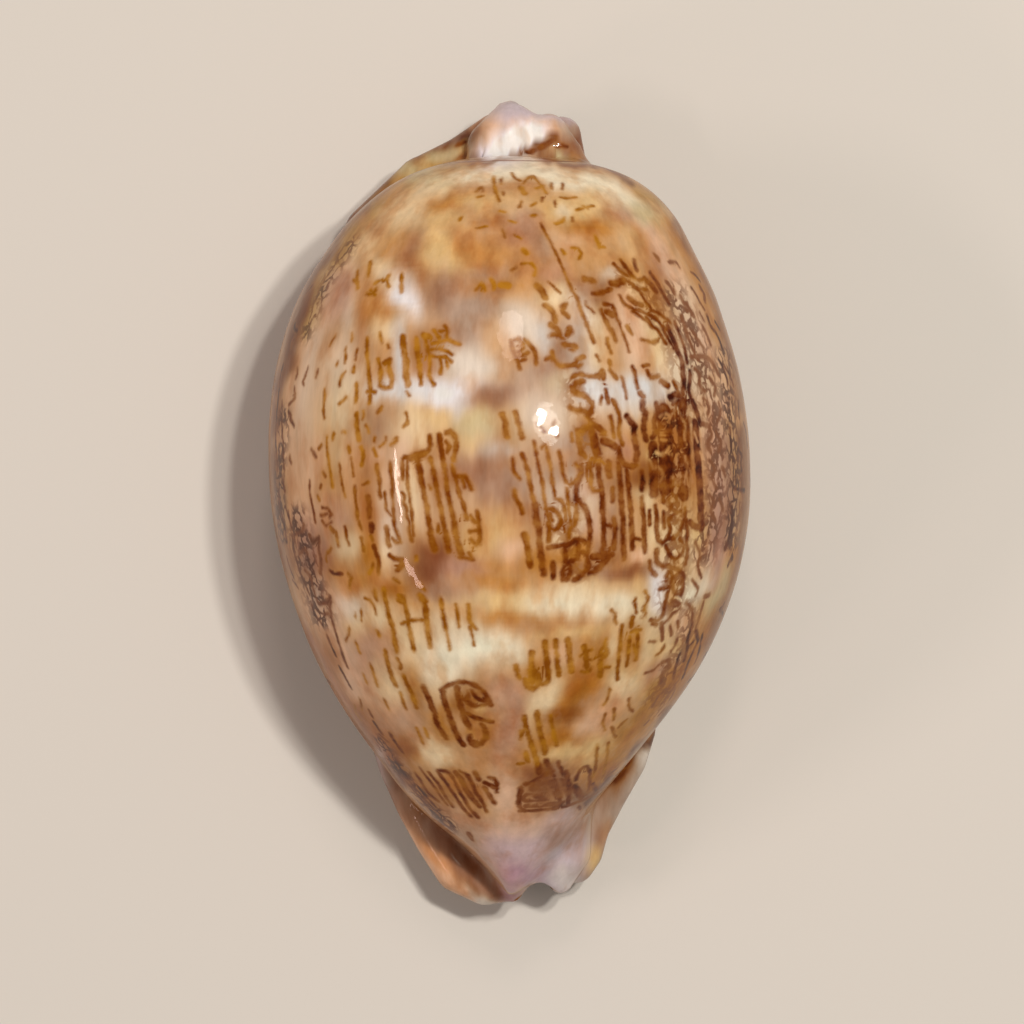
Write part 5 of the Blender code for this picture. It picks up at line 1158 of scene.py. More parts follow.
        (0.45, -7.8, -8, -7.4, -8.5, -7.3, -9.3, -7.2, -10.2, -7.1, -11.2, -6.9, -12.4),
        (0.55, -7.7, -8.1, -7.4, -8.5), (0.32, -6, -8.2, -5.9, -9, -5.7, -10, -5.5, -11),
        (0.2, -5.5, -11, -5.3, -12, -5.2, -12.7), (0.22, -4.7, -8.8, -4.5, -9.7, -4.4, -10.7),
        (0.28, -3.6, -8.8, -3.5, -9.5, -3.4, -10.3, -2.9, -10.9),
        (0.2, -3.4, -10.7, -3.2, -11.6, -3.1, -12.3),
        (0.4, -10.8, -12.8, -10.7, -13.5, -10.5, -14.3, -10.3, -14.9, -9.9, -15.8),
        (0.25, -12.1, -14, -11.8, -14.8, -11.5, -15.8), (0.28, -12.7, -14.9, -12.4, -15.6),
        (0.38, -9.2, -15, -8.9, -15.7, -8.5, -16.5, -8.3, -17.2, -8.1, -17.7),
        (0.24, -9.5, -16.4, -9.3, -17.1, -9, -17.9), (0.24, -8.1, -19.5, -7.8, -20.2, -7.5, -20.9),
        (0.26, -7.4, -19.5, -7.1, -20.3), (0.25, -10.9, -17, -10.5, -17.9),
        (0.18, -12.6, -8.2, -12.1, -8.4, -11.8, -8.9, -11.6, -9.6), (0.16, -13.4, -9.5, -13.4, -9.9),
        (0.18, -12.9, -9.2, -12.9, -10.1), (0.3, -11.5, -11.1, -11.3, -11.5), (0.2, -13.4, -12, -13, -13),
    )),
    "lower left glyphs": (0.6, 0.0, (
        (0.5, -7.5, -15.9, -7.2, -16.6, -6.8, -17.5, -6.5, -18.2),
        (0.42, -6.5, -18.2, -6.4, -19, -5.9, -19.8, -5.5, -20.4),
        (0.38, -5.9, -16.2, -5.4, -15.8, -4.7, -15.6, -3.9, -15.5, -3.2, -15.7, -2.5, -16.1, -1.9, -16.8,
         -1.7, -17.4),
        (0.46, -5.8, -16.2, -5.7, -17, -5.4, -17.9, -5.1, -18.7, -4.8, -19.6, -4.4, -20.4, -4, -21),
        (0.5, -4.6, -15.9, -4.5, -16.6, -4.3, -17.3, -4.1, -18, -3.9, -18.7, -3.5, -19.4),
        (0.32, -4.5, -16.8, -4, -17.1, -3.5, -16.9, -3.6, -16.4),
        (0.32, -3.3, -16.3, -2.9, -16.9, -2.2, -17.2, -1.8, -17.4),
        (0.32, -3.6, -17.3, -3, -17.6, -2.3, -17.5, -1.7, -17.3), (0.45, -2.1, -17, -1.6, -17.5),
        (0.36, -3.8, -18.2, -3, -18.6, -2.3, -18.8, -1.5, -19), (0.5, -3.2, -20.7, -2.5, -20.9),
        (0.42, -2.4, -19.2, -2, -19.8, -2.1, -20.4, -2.5, -20.9, -3, -21.1, -3.5, -20.6, -3.4, -20.2),
    )),
    "bar row": (0.25, 0.0, (
        (0.3, 0.55, -14.1, 0.7, -14.7, 0.9, -15.2), (0.45, 1.9, -12.9, 1.9, -13.6, 2, -14.5),
        (0.8, 2, -14.6, 2, -15.4), (0.5, 1.4, -15.3, 1.6, -15.9, 2.1, -16.1, 2.6, -15.6, 2.5, -14.9),
        (0.4, 2.7, -15.7, 3.2, -15.6, 3.4, -15.2), (0.44, 3.1, -12, 3.2, -13, 3.3, -14, 3.4, -15.2),
        (0.38, 4, -11.9, 4.1, -13, 4.2, -14, 4.3, -14.9),
        (0.45, 5.1, -11.8, 5.2, -12.8, 5.3, -13.8, 5.4, -14.6),
        (0.26, 6.2, -13.2, 6.8, -12.8, 7.1, -12.7), (0.46, 6.5, -12.4, 6.7, -13.4, 6.7, -14.3),
        (0.26, 6.7, -13.5, 7.1, -13.6), (0.32, 6.3, -14.6, 6.9, -14.6, 7.1, -14.3),
        (0.45, 8, -13.5, 7.9, -14.2, 7.9, -15), (0.22, 8.3, -14.2, 8.7, -14.2),
        (0.34, 8.4, -11.8, 8.2, -12.3, 8.6, -13, 8.2, -13.4, 7.8, -13.2, 8.1, -12.5),
        (0.32, 9.8, -10.6, 9.7, -11.6, 9.6, -12.6, 9.5, -13.6, 9.4, -14.5, 9.4, -15.3),
        (0.45, 10.7, -9.9, 10.6, -10.6), (0.3, 10.5, -11.5, 10.4, -12.4, 10.3, -13.4, 10.2, -14.1),
        (0.34, 11.1, -11, 11.2, -11.8, 11.1, -12.6, 11, -13.5), (0.28, 10.6, -11.2, 11, -10.9, 11.4, -11),
        (0.22, 10.8, -12.2, 11, -13),
        (0.22, 11.8, -7.6, 12.1, -8.1, 11.9, -8.7, 11.6, -9, 11.9, -9.4, 11.8, -9.8, 11.5, -9.9),
        (0.38, 1.3, -18.5, 1.4, -19.3, 1.7, -20.3, 2, -21.2, 2.3, -22.1, 2.5, -22.9),
        (0.32, 1.5, -19.6, 1, -19.8, 1, -20.4),
        (0.42, 2.4, -18.1, 2.5, -19, 2.7, -20, 3, -21, 3.1, -21.7),
        (0.26, 3.6, -18.4, 3.7, -19.2, 3.9, -20.2, 4.1, -21.1), (0.36, 1.4, -21.6, 1.6, -22.4),
        (0.26, 0.8, -22.6, 1.2, -22.6), (0.26, 7.6, -21, 7.6, -22, 7.5, -23, 7.2, -23.8),
        (0.26, 8.6, -20.8, 8.5, -22, 8.3, -23, 8.1, -24.2),
    )),
    "lower left script": (0.62, 0.0, (
        (0.34, -8.2, -23.4, -7.8, -24, -7.4, -24.7, -6.8, -25.4, -6.2, -25.9),
        (0.28, -7.8, -23, -7, -24, -6.4, -24.8, -5.9, -25.6, -5.4, -26.2),
        (0.32, -7, -23.4, -6.4, -24.1, -5.9, -24.9, -5.5, -25.6, -5, -26.3),
        (0.32, -6.3, -23.2, -5.8, -23.9, -5.2, -24.8, -4.6, -25.6, -4.1, -26.4, -3.4, -27.2),
        (0.32, -6.2, -23.2, -5.4, -23.3, -4.9, -23.9, -4.4, -24.9, -3.9, -25.8, -3.4, -26.6, -2.7, -27.3),
        (0.5, -4.6, -23.4, -4.1, -24.2, -3.7, -25, -3.2, -25.7, -2.6, -26.3),
        (0.45, -3, -23.4, -2.7, -24),
        (0.32, -4.3, -23.3, -3.6, -23.6, -3.3, -24.3, -2.9, -25.1, -2.4, -25.9, -2, -26.8),
        (0.38, -2.2, -24.6, -1.8, -25.3, -1.3, -26.1),
        (0.32, -1.8, -23.8, -1.3, -23.9, -1.1, -24.5, -1.1, -25.1),
        (0.5, -2.1, -24.3, -1.6, -24.5, -1.2, -24.7), (0.5, -3.5, -28.7, -3.3, -29.2),
    )),
    "lower left margin": (0.85, 0.1, (
        (0.28, -10, -23, -9.2, -23.9, -8.3, -25, -7.4, -26, -6.5, -27, -5.6, -27.9, -5, -28.4),
        (0.24, -9.8, -22.6, -8.8, -24, -7.8, -25.2, -7, -26.1),
        (0.22, -10.4, -22.2, -9.6, -23.3, -8.9, -24), (0.24, -8, -24.6, -7.2, -25.5, -6.4, -26.4),
        (0.42, -5.3, -27.6, -4.8, -28.1), (0.28, -11.8, -19, -11.4, -19.6, -11.1, -20),
        (0.28, -11.3, -20.1, -10.6, -20.7), (0.32, -10.4, -20, -9.9, -20.8, -9.3, -21.6),
        (0.22, -12.2, -18, -11.9, -18.6),
    )),
    "lower right fill": (0.6, 0.6, (
        (1.1, 1.5, -25.6, 3, -25.5, 5, -25.2), (1.1, 2.3, -24.7, 3.5, -24.4, 4.6, -24.3),
        (0.5, 1.4, -26.3, 3, -26.2, 4.6, -26),
    )),
    "lower right script": (0.7, 0.2, (
        (0.45, 1.4, -24.4, 2.1, -24.2, 2.6, -23.8, 3.2, -23.5, 3.7, -23.3),
        (0.45, 2.5, -22.8, 2.6, -23.5), (0.4, 3.2, -22.3, 3.5, -23, 3.6, -23.3),
        (0.28, 4.2, -22.4, 4.5, -23.1, 4.7, -23.6), (0.45, 1, -24.6, 0.9, -25.4, 0.8, -26.3, 1.3, -26.7),
        (0.45, 4.9, -23.3, 5.1, -24.2, 5.2, -25.2, 5.1, -26.2),
        (0.32, 0.9, -26.7, 2, -26.7, 3, -26.6, 4, -26.5, 5, -26.3, 5.8, -26, 6.6, -25.7),
        (0.32, 6.6, -25.7, 7.4, -25.3, 8, -24.9, 8.6, -24.3, 9.3, -23.6, 10.2, -22.7, 11, -21.7),
        (0.38, 3.9, -24, 4.2, -25, 4.5, -26.2), (0.6, 5.6, -24.6, 6, -25.1, 6.3, -25.6),
        (0.34, 5.8, -24, 6.1, -23.2, 6.7, -22.8, 7, -23.3, 7, -24.2, 6.9, -24.9),
        (0.4, 7.2, -24.4, 7.6, -24.9), (0.26, 8.4, -23.8, 8.9, -23.4, 9.4, -23),
        (0.22, 6, -26.3, 6.2, -26.6),
    )),
    # painted shade: dark lines along the crease where the body overhangs the rear callus
    "painted shade in the rear crease": (0.75, 0.1, (
        (0.24, -4.6, 29.75, -2.4, 29.85, 0, 29.9, 3, 29.85, 5.4, 29.8, 7.2, 29.6),
        (0.4, 7.2, 29.6, 8.6, 29.1, 10.2, 28.5), (0.35, 1.2, 30.4, 2, 30.7, 2.9, 31.1),
        (0.45, 2.4, 30.9, 3.2, 31.3, 3.9, 31.7), (0.3, 3.9, 31, 4.5, 31.2, 5, 31.1),
        (0.3, -4.6, 31.2, -3.9, 31.5), (0.3, 2.6, 30.2, 3.4, 30.3),
    )),
}

# Pale lines left clear inside the marks, as a width and places.
cuts = (
    (0.3, 13.1, 7.6, 13.6, 7.9, 14.2, 7.3), (0.25, 13.3, 7, 14, 7.1), (0.26, 13.2, 6.2, 13.8, 6.4),
    (0.26, 13.2, 5.6, 14.1, 5.5), (0.32, 12.8, 4.5, 13.3, 4.3, 13.8, 4.6, 13.9, 5),
    (0.3, 14.6, 8.3, 14.9, 7.6, 15.3, 7, 15.2, 6, 15.4, 5.2), (0.26, 15.6, 8.6, 15.5, 7.8),
    (0.3, 14.2, 4.3, 14.8, 4.5, 15.3, 4.2, 15.2, 3.5, 14.5, 3.4),
    (0.3, 14.1, 2.2, 14.8, 2.6, 15, 2, 14.6, 1.5, 14.3, 0.8, 14.2, 0.3),
    (0.28, 15.5, 3.5, 15.4, 2.5, 15.6, 1.5, 15.7, 0.5, 15.8, -0.5), (0.26, 16, 2.8, 16.1, 1.5, 16.2, 0.3),
    (0.26, 16.6, 4.5, 16.9, 3.6, 17, 2.5), (0.24, 13, 3.2, 13.4, 2.6, 13.1, 1.9),
    (0.22, 12.2, 3.8, 12.5, 3.1), (0.24, 13.9, 6.6, 14.4, 6), (0.24, 16.1, 6.2, 16.4, 5.4),
    (0.26, 1.6, -25.6, 2.1, -25.3), (0.26, 2.6, -24.8, 3.1, -24.5), (0.3, 3.3, -24.6, 3.8, -25.8),
    (0.28, 4.2, -23.9, 4.6, -24.9, 4.8, -25.6), (0.22, 1.9, -26.1, 2.3, -26),
    (0.22, 2.7, -26.2, 3.3, -25.9), (0.22, 3, -25.2, 3.3, -25.5), (0.22, 2.2, -25, 2.5, -25.2),
)

# Spots and dashes round the margin, below what is seen from above: heights in millimetres.
rimSpots = {
    "seed": 11,
    "step": 2.3,
    "unevenStep": (0.7, 1.35),
    "heights": (2.6, 5.0, 7.4, 9.8, 12.0, 14.0),
    "stray": 0.7,
    "lowest": 1.2,
    "width": (0.55, 1.15),
    "length": (0.3, 1.7),
    "points": 4,
    "lean": 0.9,  # in radians, either way
    "from": -19.0,
    "to": 25.0,
    "skipped": 0.22,
    "tone": 0.8,
    "veil": 0.15,
}

# Rows of broken lines that fill the net between the marks, along the shell's own meridians: the zone's x
# range at its widest, y range, width, share drawn, dash length, darkness and veil.
nets = {
    "seed": 5,
    "spacing": 0.72,
    "gap": 0.34,  # kept clear of other marks, in millimetres
    "halfLength": 36.5,
    "point": 0.3,  # millimetres from one point of a dash to the next
    "pause": (0.45, 0.9),
    "shift": 0.15,
    "waver": 0.12,
    "hooked": 0.3,  # the share of dashes with a hooked end
    "hook": (0.15, 0.45),
    "unevenWidth": (0.8, 1.25),
    "unevenTone": (0.7, 1.2),
    "zones": (
        (11.6, 17.0, -9.0, 17.0, 0.30, 0.55, (0.5, 2.2), 0.6, 0.1),
        (13.0, 17.0, -18.0, -8.0, 0.26, 0.40, (0.4, 1.6), 0.6, 0.35),
        (8.5, 13.0, 10.0, 20.0, 0.24, 0.50, (0.4, 1.6), 0.45, 0.1),
        (12.0, 17.5, 15.0, 22.0, 0.24, 0.45, (0.4, 1.4), 0.6, 0.45),
        (2.5, 11.8, -4.5, 9.5, 0.24, 0.42, (0.4, 1.8), 0.45, 0.1),
        (9.0, 14.5, -20.0, -7.5, 0.22, 0.45, (0.4, 1.5), 0.3, 0.1),
        (-16.5, -8.6, -6.5, 15.0, 0.20, 0.42, (0.3, 1.3), 0.25, 0.05),
        (-8.6, -2.5, -5.0, 4.0, 0.20, 0.30, (0.3, 1.2), 0.3, 0.1),
        (-15.5, -7.0, -18.0, -6.5, 0.20, 0.30, (0.3, 1.2), 0.25, 0.1),
        (-19.5, -16.8, -9.0, 12.0, 0.22, 0.40, (0.4, 1.6), 0.6, 0.4),
        (-20.6, -19.4, -8.0, 16.0, 0.26, 0.60, (0.5, 1.8), 0.85, 0.1),
        (19.4, 20.6, -10.0, 14.0, 0.26, 0.60, (0.5, 1.8), 0.85, 0.1),
        (1.0, 9.0, 17.5, 23.0, 0.18, 0.22, (0.3, 1.0), 0.35, 0.2),
        (-3.0, 8.0, 23.0, 28.5, 0.20, 0.28, (0.3, 0.9), 0.35, 0.2),
    ),
}

# Lacework of fine threads between the bolder marks: how full, tone, veil and half width, then its path.
laces = {
    "cell": 1.05,  # millimetres across one mesh
    "stretch": 0.62,  # meshes are longer than wide
    "warp": 0.75,
    "thread": (0.07, 0.22),  # solid and faded out, in meshes from a thread's middle line
    "bands": (
        (0.9, 0.7, 0, 1.3, (14.3, 8.2, 14.6, 4, 14.4, 0.6)),
        (0.8, 0.45, 0, 1.3, (14.6, 1, 14.4, -3, 14.3, -6, 14, -8.6)),
        (0.55, 0.4, 0.1, 1, (9.8, 19.8, 12, 18.6, 13.4, 16, 14.4, 13, 15.2, 10, 15.6, 7)),
        (0.9, 0.9, 0.55, 1.15, (14.4, 18.2, 16, 14.6, 17, 11, 17.8, 7, 18.1, 3, 17.7, -1, 16.8, -4.4)),
        (0.7, 0.6, 0.3, 1, (15.6, -9, 15.2, -12, 14, -15, 12.6, -17.6)),
        (0.7, 0.35, 0, 1.2, (5.4, -0.4, 5, -3, 6, -5.6)),
        (0.6, 0.3, 0, 1.1, (5.4, 10.4, 6.6, 7, 7, 4)),
        (0.9, 1, 0.1, 0.8, (18.6, 13, 19.3, 6, 19.6, 2, 19.2, -3.6)),
        (0.9, 1, 0.1, 1.1, (-18.6, -1, -17.9, -4, -17, -7.4, -16.2, -10)),
        (0.9, 0.9, 0.1, 0.6, (-11.4, -20.6, -9.4, -23.4, -7, -26.2, -5, -28.2)),
        (0.8, 1, 0, 0.6, (-19.6, 8, -20, 2, -19.8, -3)),
        (0.7, 0.9, 0, 0.6, (-17.8, 14.6, -16, 19, -13.6, 22.8)),
    ),
}


def smoothPath(places, step=0.4):
    # a smooth curve through the places, with a point about every 0.4 mm
    places = np.asarray(places, float).reshape(-1, 2)
    ends = np.vstack([2 * places[0] - places[1], places, 2 * places[-1] - places[-2]])
    path = []
    for before, start, end, after in zip(ends, ends[1:], ends[2:], ends[3:]):
        count = max(1, round(float(np.linalg.norm(end - start)) / step))
        t = (np.arange(count) / count)[:, None]
        path.append(0.5 * (2 * start + (end - before) * t + (2 * before - 5 * start + 4 * end - after) * t**2
                           + (3 * start - before - 3 * end + after) * t**3))
    path.append(places[-1:])
    return np.concatenate(path)


def netDashes(drawn):
    # broken wavy lines along the meridians, each kept clear of everything already drawn
    rng = np.random.default_rng(nets["seed"])
    taken = np.concatenate(drawn)
    dashes = []
    for left, right, low, high, width, share, lengths, tone, veil in nets["zones"]:
        for column in np.arange(left, right, nets["spacing"]):
            y = high - rng.uniform(0.0, 1.0)
            while y > low:
                length = rng.uniform(*lengths)
                ys = np.arange(y, y - length - nets["point"] / 2, -nets["point"])
                y -= length + rng.uniform(*nets["pause"])
                if rng.random() > share:
                    continue
                xs = column + rng.uniform(-nets["shift"], nets["shift"])
                xs = xs + nets["waver"] * np.cumsum(rng.normal(size=len(ys)))
                if rng.random() < nets["hooked"]:
                    xs[-2:] += rng.choice((-1.0, 1.0)) * np.array(nets["hook"])
                xs *= np.sqrt(1 - np.clip(ys / nets["halfLength"], -0.98, 0.98) ** 2)
                path = np.stack([xs, ys], 1)
                if np.min(np.linalg.norm(taken[:, None] - path, axis=2)) < nets["gap"] + width / 2:
                    continue
                taken = np.vstack([taken, path])
                dashWidth = width * rng.uniform(*nets["unevenWidth"])
                dashTone = tone * rng.uniform(*nets["unevenTone"])
                dashes.append((dashWidth, path, dashTone, veil))
    return dashes


def rimStrokes(middle):
    # rows of spots on both sides, each cast sideways from the shell's middle plane
    rng = np.random.default_rng(rimSpots["seed"])
    count, stray, lean = rimSpots["points"], rimSpots["stray"], rimSpots["lean"]
    strokes = []
    for side in (-1.0, 1.0):
        for row, height in enumerate(rimSpots["heights"]):
            y = rimSpots["from"] + row % 3 * rimSpots["step"] / 3
            while y < rimSpots["to"]:
                y += rimSpots["step"] * rng.uniform(*rimSpots["unevenStep"])
                if rng.random() < rimSpots["skipped"]:
                    continue
                length = rng.uniform(*rimSpots["length"])
                turn = rng.uniform(-lean, lean)
                along = np.linspace(-0.5, 0.5, count) * length
                ys = y + along * math.sin(turn)
                zs = height + rng.uniform(-stray, stray) + along * math.cos(turn)
                starts = np.stack([np.zeros(count), ys, np.maximum(zs, rimSpots["lowest"])], 1)
                places = cast(starts, np.tile((side, 0.0, 0.0), (count, 1)), outside, True)
                places -= np.append(middle, 0.0)
                strokes.append((rng.uniform(*rimSpots["width"]), places, rimSpots["tone"], rimSpots["veil"]))
    return strokes


def nearestMarks(points, strokes):
    # for each point, the offset in millimetres from the nearest mark's middle line, and that mark's traits;
    # a point with no mark near keeps these first values, which are far off
    found = {
        "offset": np.full((len(points), 3), 2.0),
        "reach": np.full(len(points), 3.0),
        "halfWidth": np.full(len(points), 0.2),
        "tone": np.full(len(points), 0.5),
        "veil": np.zeros(len(points)),
    }
    order = np.argsort(points[:, 1])
    heights = points[order, 1]
    for width, path, tone, veil in strokes:
        margin = width / 2 + layout["markReach"]
        low, high = path.min(0) - margin, path.max(0) + margin
        near = order[np.searchsorted(heights, low[1]):np.searchsorted(heights, high[1])]
        near = near[np.all((points[near] > low) & (points[near] < high), 1)]
        if not len(near):
            continue
        starts, legs = path[:-1], np.diff(path, axis=0)
        apart = points[near][:, None] - starts
        share = np.clip(np.sum(apart * legs, 2) / (np.sum(legs**2, 1) + 1e-9), 0, 1)
        offsets = apart - share[..., None] * legs
        distances = np.linalg.norm(offsets, axis=2)
        best = np.argmin(distances, 1)
        rows = np.arange(len(near))
        reach = distances[rows, best] - width / 2
        closer = reach < found["reach"][near]
        changed = near[closer]
        found["reach"][changed] = reach[closer]
        found["offset"][changed] = offsets[rows, best][closer]
        found["halfWidth"][changed] = width / 2
        found["tone"][changed] = tone
        found["veil"][changed] = veil
    return found


def liftPaths(paths, middle):
    # every path's places as points on the shell, cast as one list; a path stops where the side turns down
    lifted = onShell(np.concatenate(paths), middle)
    upwards = slope(lifted + np.append(middle, 0.0), outside)
    upwards = upwards[:, 2] / np.linalg.norm(upwards, axis=1)
    ends = np.cumsum([len(path) for path in paths])[:-1]
    kept = []
    for path, up in zip(np.split(lifted, ends), np.split(upwards, ends)):
        level = up > layout["turnsDown"]
        kept.append(path[level] if level.sum() > 1 else None)
    return kept


def inLayers(strokes):
    # share the marks out so that neighbours are in different layers
    apart = layout["apart"]
    layers = [[] for _ in range(layout["layers"])]
    middles = [np.empty((0, 3)) for _ in layers]
    for stroke in strokes:
        path = stroke[1]
        crowding = []
        for placed in middles:
            near = placed[np.all(np.abs(placed - path.mean(0)) < np.ptp(path, 0).max() / 2 + apart, 1)]
            gaps = np.linalg.norm(near[:, None] - path, axis=2)
            crowding.append(float(np.sum(np.clip(apart - gaps, 0, None))))
        best = int(np.argmin(crowding))
        layers[best].append(stroke)
        middles[best] = np.vstack([middles[best], path])
    return layers


def paintMarks(mesh, middle):
    points = readVertices(mesh) / mm
    flat = [(mark[0], smoothPath(mark[1:]), tone, veil)
            for tone, veil, group in marks.values() for mark in group]
    clearPaths = [smoothPath(cut[1:]) for cut in cuts]
    flat += netDashes([stroke[1] for stroke in flat] + clearPaths)
    lifted = liftPaths([stroke[1] for stroke in flat], middle)
    strokes = [(width + layout["spread"], path, tone, veil)
               for (width, _, tone, veil), path in zip(flat, lifted) if path is not None]
    strokes += rimStrokes(middle)
    cleared = [(cut[0], path, 0.0, 0.0)
               for cut, path in zip(cuts, liftPaths(clearPaths, middle)) if path is not None]
    nearest = nearestMarks(points, strokes)
    storeValues(mesh, "markReach", nearest["reach"])
    storeValues(mesh, "markTone", nearest["tone"])
    storeValues(mesh, "markVeil", nearest["veil"])
    layers = {f"mark{number}": layer for number, layer in enumerate(inLayers(strokes))}
    for prefix, layer in (layers | {"cut": cleared}).items():
        found = nearestMarks(points, layer)
        storeValues(mesh, prefix + "Offset", found["offset"], "FLOAT_VECTOR")
        storeValues(mesh, prefix + "Reach", found["reach"])
        storeValues(mesh, prefix + "HalfWidth", found["halfWidth"])


def ripple(places, size, seed):
    # a smooth wander between -1 and 1 for each place, turning about once in this many millimetres
    count = layout["lattice"]
    grid = np.random.default_rng(seed).uniform(-1, 1, (count + 1, count + 1))
    cells = places / size + layout["latticeStart"]
    low = np.floor(cells).astype(int)
    share = smoothStep(cells - low)
    i, j = low[:, 0] % count, low[:, 1] % count
    near = grid[i, j] * (1 - share[:, 0]) + grid[i + 1, j] * share[:, 0]
    far = grid[i, j + 1] * (1 - share[:, 0]) + grid[i + 1, j + 1] * share[:, 0]
    return near * (1 - share[:, 1]) + far * share[:, 1]


def closeTo(places, path, halfWidth):
    # the places near a path, and how close each one is, from 1 on it to 0 well beyond its half width
    path = smoothPath(path, 1.2)
    reach = layout["sweepReach"]
    near = np.flatnonzero(np.all((places > path.min(0) - reach) & (places < path.max(0) + reach), 1))
    starts, legs = path[:-1], np.diff(path, axis=0)
    apart = places[near][:, None] - starts
    along = np.clip(np.sum(apart * legs, 2) / np.sum(legs**2, 1), 0, 1)
    distance = np.min(np.linalg.norm(apart - along[..., None] * legs, axis=2), 1)
    return near, np.exp(-((distance / halfWidth) ** (2 * layout["cloudEdge"])))


def swept(ground, places, facing, painted, colours):
    # the ground with long soft sweeps of colour laid over it
    for name, strength, halfWidth, path in painted:
        near, close = closeTo(places, path, halfWidth)
        ground[near] += (colours[name] - ground[near]) * (facing[near] * strength * close)[:, None]
    return ground


def paintLaces(mesh):
    # how full the lacework is, its tone and its veil
    seen = sighted(readVertices(mesh) / mm)
    facing = smoothStep(readVertices(mesh, "normal")[:, 2] / layout["laceFade"])
    lace = np.tile((0.0, 0.5, 0.0), (len(seen), 1))
    for full, tone, veil, halfWidth, path in laces["bands"]:
        near, close = closeTo(seen, path, halfWidth)
        lace[near, 0] = np.maximum(lace[near, 0], full * close * facing[near])
        lace[near, 1:] += (np.array((tone, veil)) - lace[near, 1:]) * close[:, None]
    storeValues(mesh, "lace", lace, "FLOAT_VECTOR")


def paintGround(mesh):
    # the colour between the marks
    points = readVertices(mesh) / mm
    height = points[:, 2]
    seen = sighted(points)
    moved = seen.copy()
    for across, along, strayX, strayY, seed in layout["wander"]:
        places = seen * (1 / across, 1 / along)
        moved[:, 0] += strayX * ripple(places, 1.0, seed)
        moved[:, 1] += strayY * ripple(places, 1.0, seed + 1)
    colours = {name: np.array(toLinear(tint)[:3]) for name, tint in groundColours.items()}
    ground = np.tile(colours["sand"], (len(points), 1))
    for name, top, bottom in layout["skirts"]:
        share = smoothStep((top - height) / (top - bottom))
        ground += (colours[name] - ground) * share[:, None]

    low, high, unevenness = layout["sideFade"]
    around = points[:, [1, 2]]
    waver = unevenness * ripple(around, flankPatches["waver"], flankPatches["seeds"][0])
    facing = smoothStep((readVertices(mesh, "normal")[:, 2] + waver - low) / (high - low))
    squashed = around * (1.0, flankPatches["flatness"])
    patches = ripple(squashed, flankPatches["size"], flankPatches["seeds"][1]) - flankPatches["edge"][0]
    patches = smoothStep(patches / flankPatches["edge"][1])
    patches *= smoothStep((height - flankPatches["height"][0]) / flankPatches["height"][1])
    share = flankPatches["strength"] * patches * (1 - facing)
    ground += (colours["umber"] - ground) * share[:, None]

    ground = swept(ground, moved, facing, sweeps, colours)
    for x, y, across, along, lean, name, strength in clouds:
        turn = math.radians(lean)
        dx, dy = moved[:, 0] - x, moved[:, 1] - y
        u = (dx * math.cos(turn) - dy * math.sin(turn)) / (across * layout["cloudReach"])
        v = (dx * math.sin(turn) + dy * math.cos(turn)) / (along * layout["cloudReach"])
        share = facing * strength * np.exp(-((u**2 + v**2) ** layout["cloudEdge"]))
        ground += (colours[name] - ground) * share[:, None]
    ground = swept(ground, moved, facing, marginSweeps, colours)
    brightness = ground.mean(1, keepdims=True) / colours["sand"].mean()
    ground = np.clip(ground * brightness ** np.array(layout["depth"]), *layout["albedo"])
    storeValues(mesh, "ground", np.column_stack([ground, np.ones(len(ground))]), "FLOAT_COLOR")


# Porcelain-glossy aragonite, laid down by the mantle in enamel-smooth layers, which give the colours depth
# under a clear, wet-looking shine with soft, slightly broken highlights.
glazed = {
    "roughness": 0.35,
    "ior": 1.53,
    "specular": 0.02,  # under the coat, whose own shine is the stronger
    "coat": 0.45,
    "coatRoughness": 0.035,
    "coatIor": 1.42,
    # the marks' colour by their tone, from faint to dark
    "inks": ((0.0, "#b87c08"), (0.3, "#985c00"), (0.6, "#804000"), (0.8, "#682a00"), (1.0, "#401000")),
    "veiled": "#885636",
    "halo": "#c08428",
    "stain": "#d9a868",
    "pale": "#f3e6d2",
    "tooth": "#7a4a28",
    "haloReach": 0.36,  # millimetres of golden stain round each mark
    "haloStrength": 0.14,
    "edgeWobble": 0.36,
    "edgeSoftness": 0.32,
    "markEnd": (0.12, 0.26),  # millimetres past a mark's plain edge where it dies away whatever the wobble
    # how drawn out lengthways (less is longer), millimetres across one patch, detail and roughness
    "noises": {
        "streak": (0.16, 1.1, 4.0, 0.6),
        "mottle": (0.45, 2.3, 3.0, 0.55),
        "patch": (1.0, 1.3, 3.0, 0.5),
        "wobble": (1.0, 0.625, 3.0, 0.5),
        "warp": (1.0, 1 / 0.9, 2.0, 0.5),
        "wave": (1.0, 1.3, 1.0, 0.5),
        "grain": (1.0, 0.35, 2.0, 0.5),
    },
    # what each share is read from, the two ends of the range it is read over, and its values there
    "shares": {
        "shade": ("streak", 0.3, 0.7, 0.86, 1.14),
        "stain": ("mottle", 0.5, 0.32, 0.0, 0.5),
        "pale": ("mottle", 0.52, 0.7, 0.0, 0.12),
        "toneShift": ("patch", 0.3, 0.7, -0.28, 0.28),
        "torn": ("patch", 0.36, 0.46, 0.25, 1.0),
        "strength": ("patch", 0.35, 0.6, 0.8, 1.0),
        "tooth": ("toothRidge", 0.15, 0.5, 0.0, 0.75),
        "lining": ("lining", 0.55, 0.95, 0.0, 1.0),
    },
    "waveDepth": 0.018,
    "grainDepth": 0.002,
}


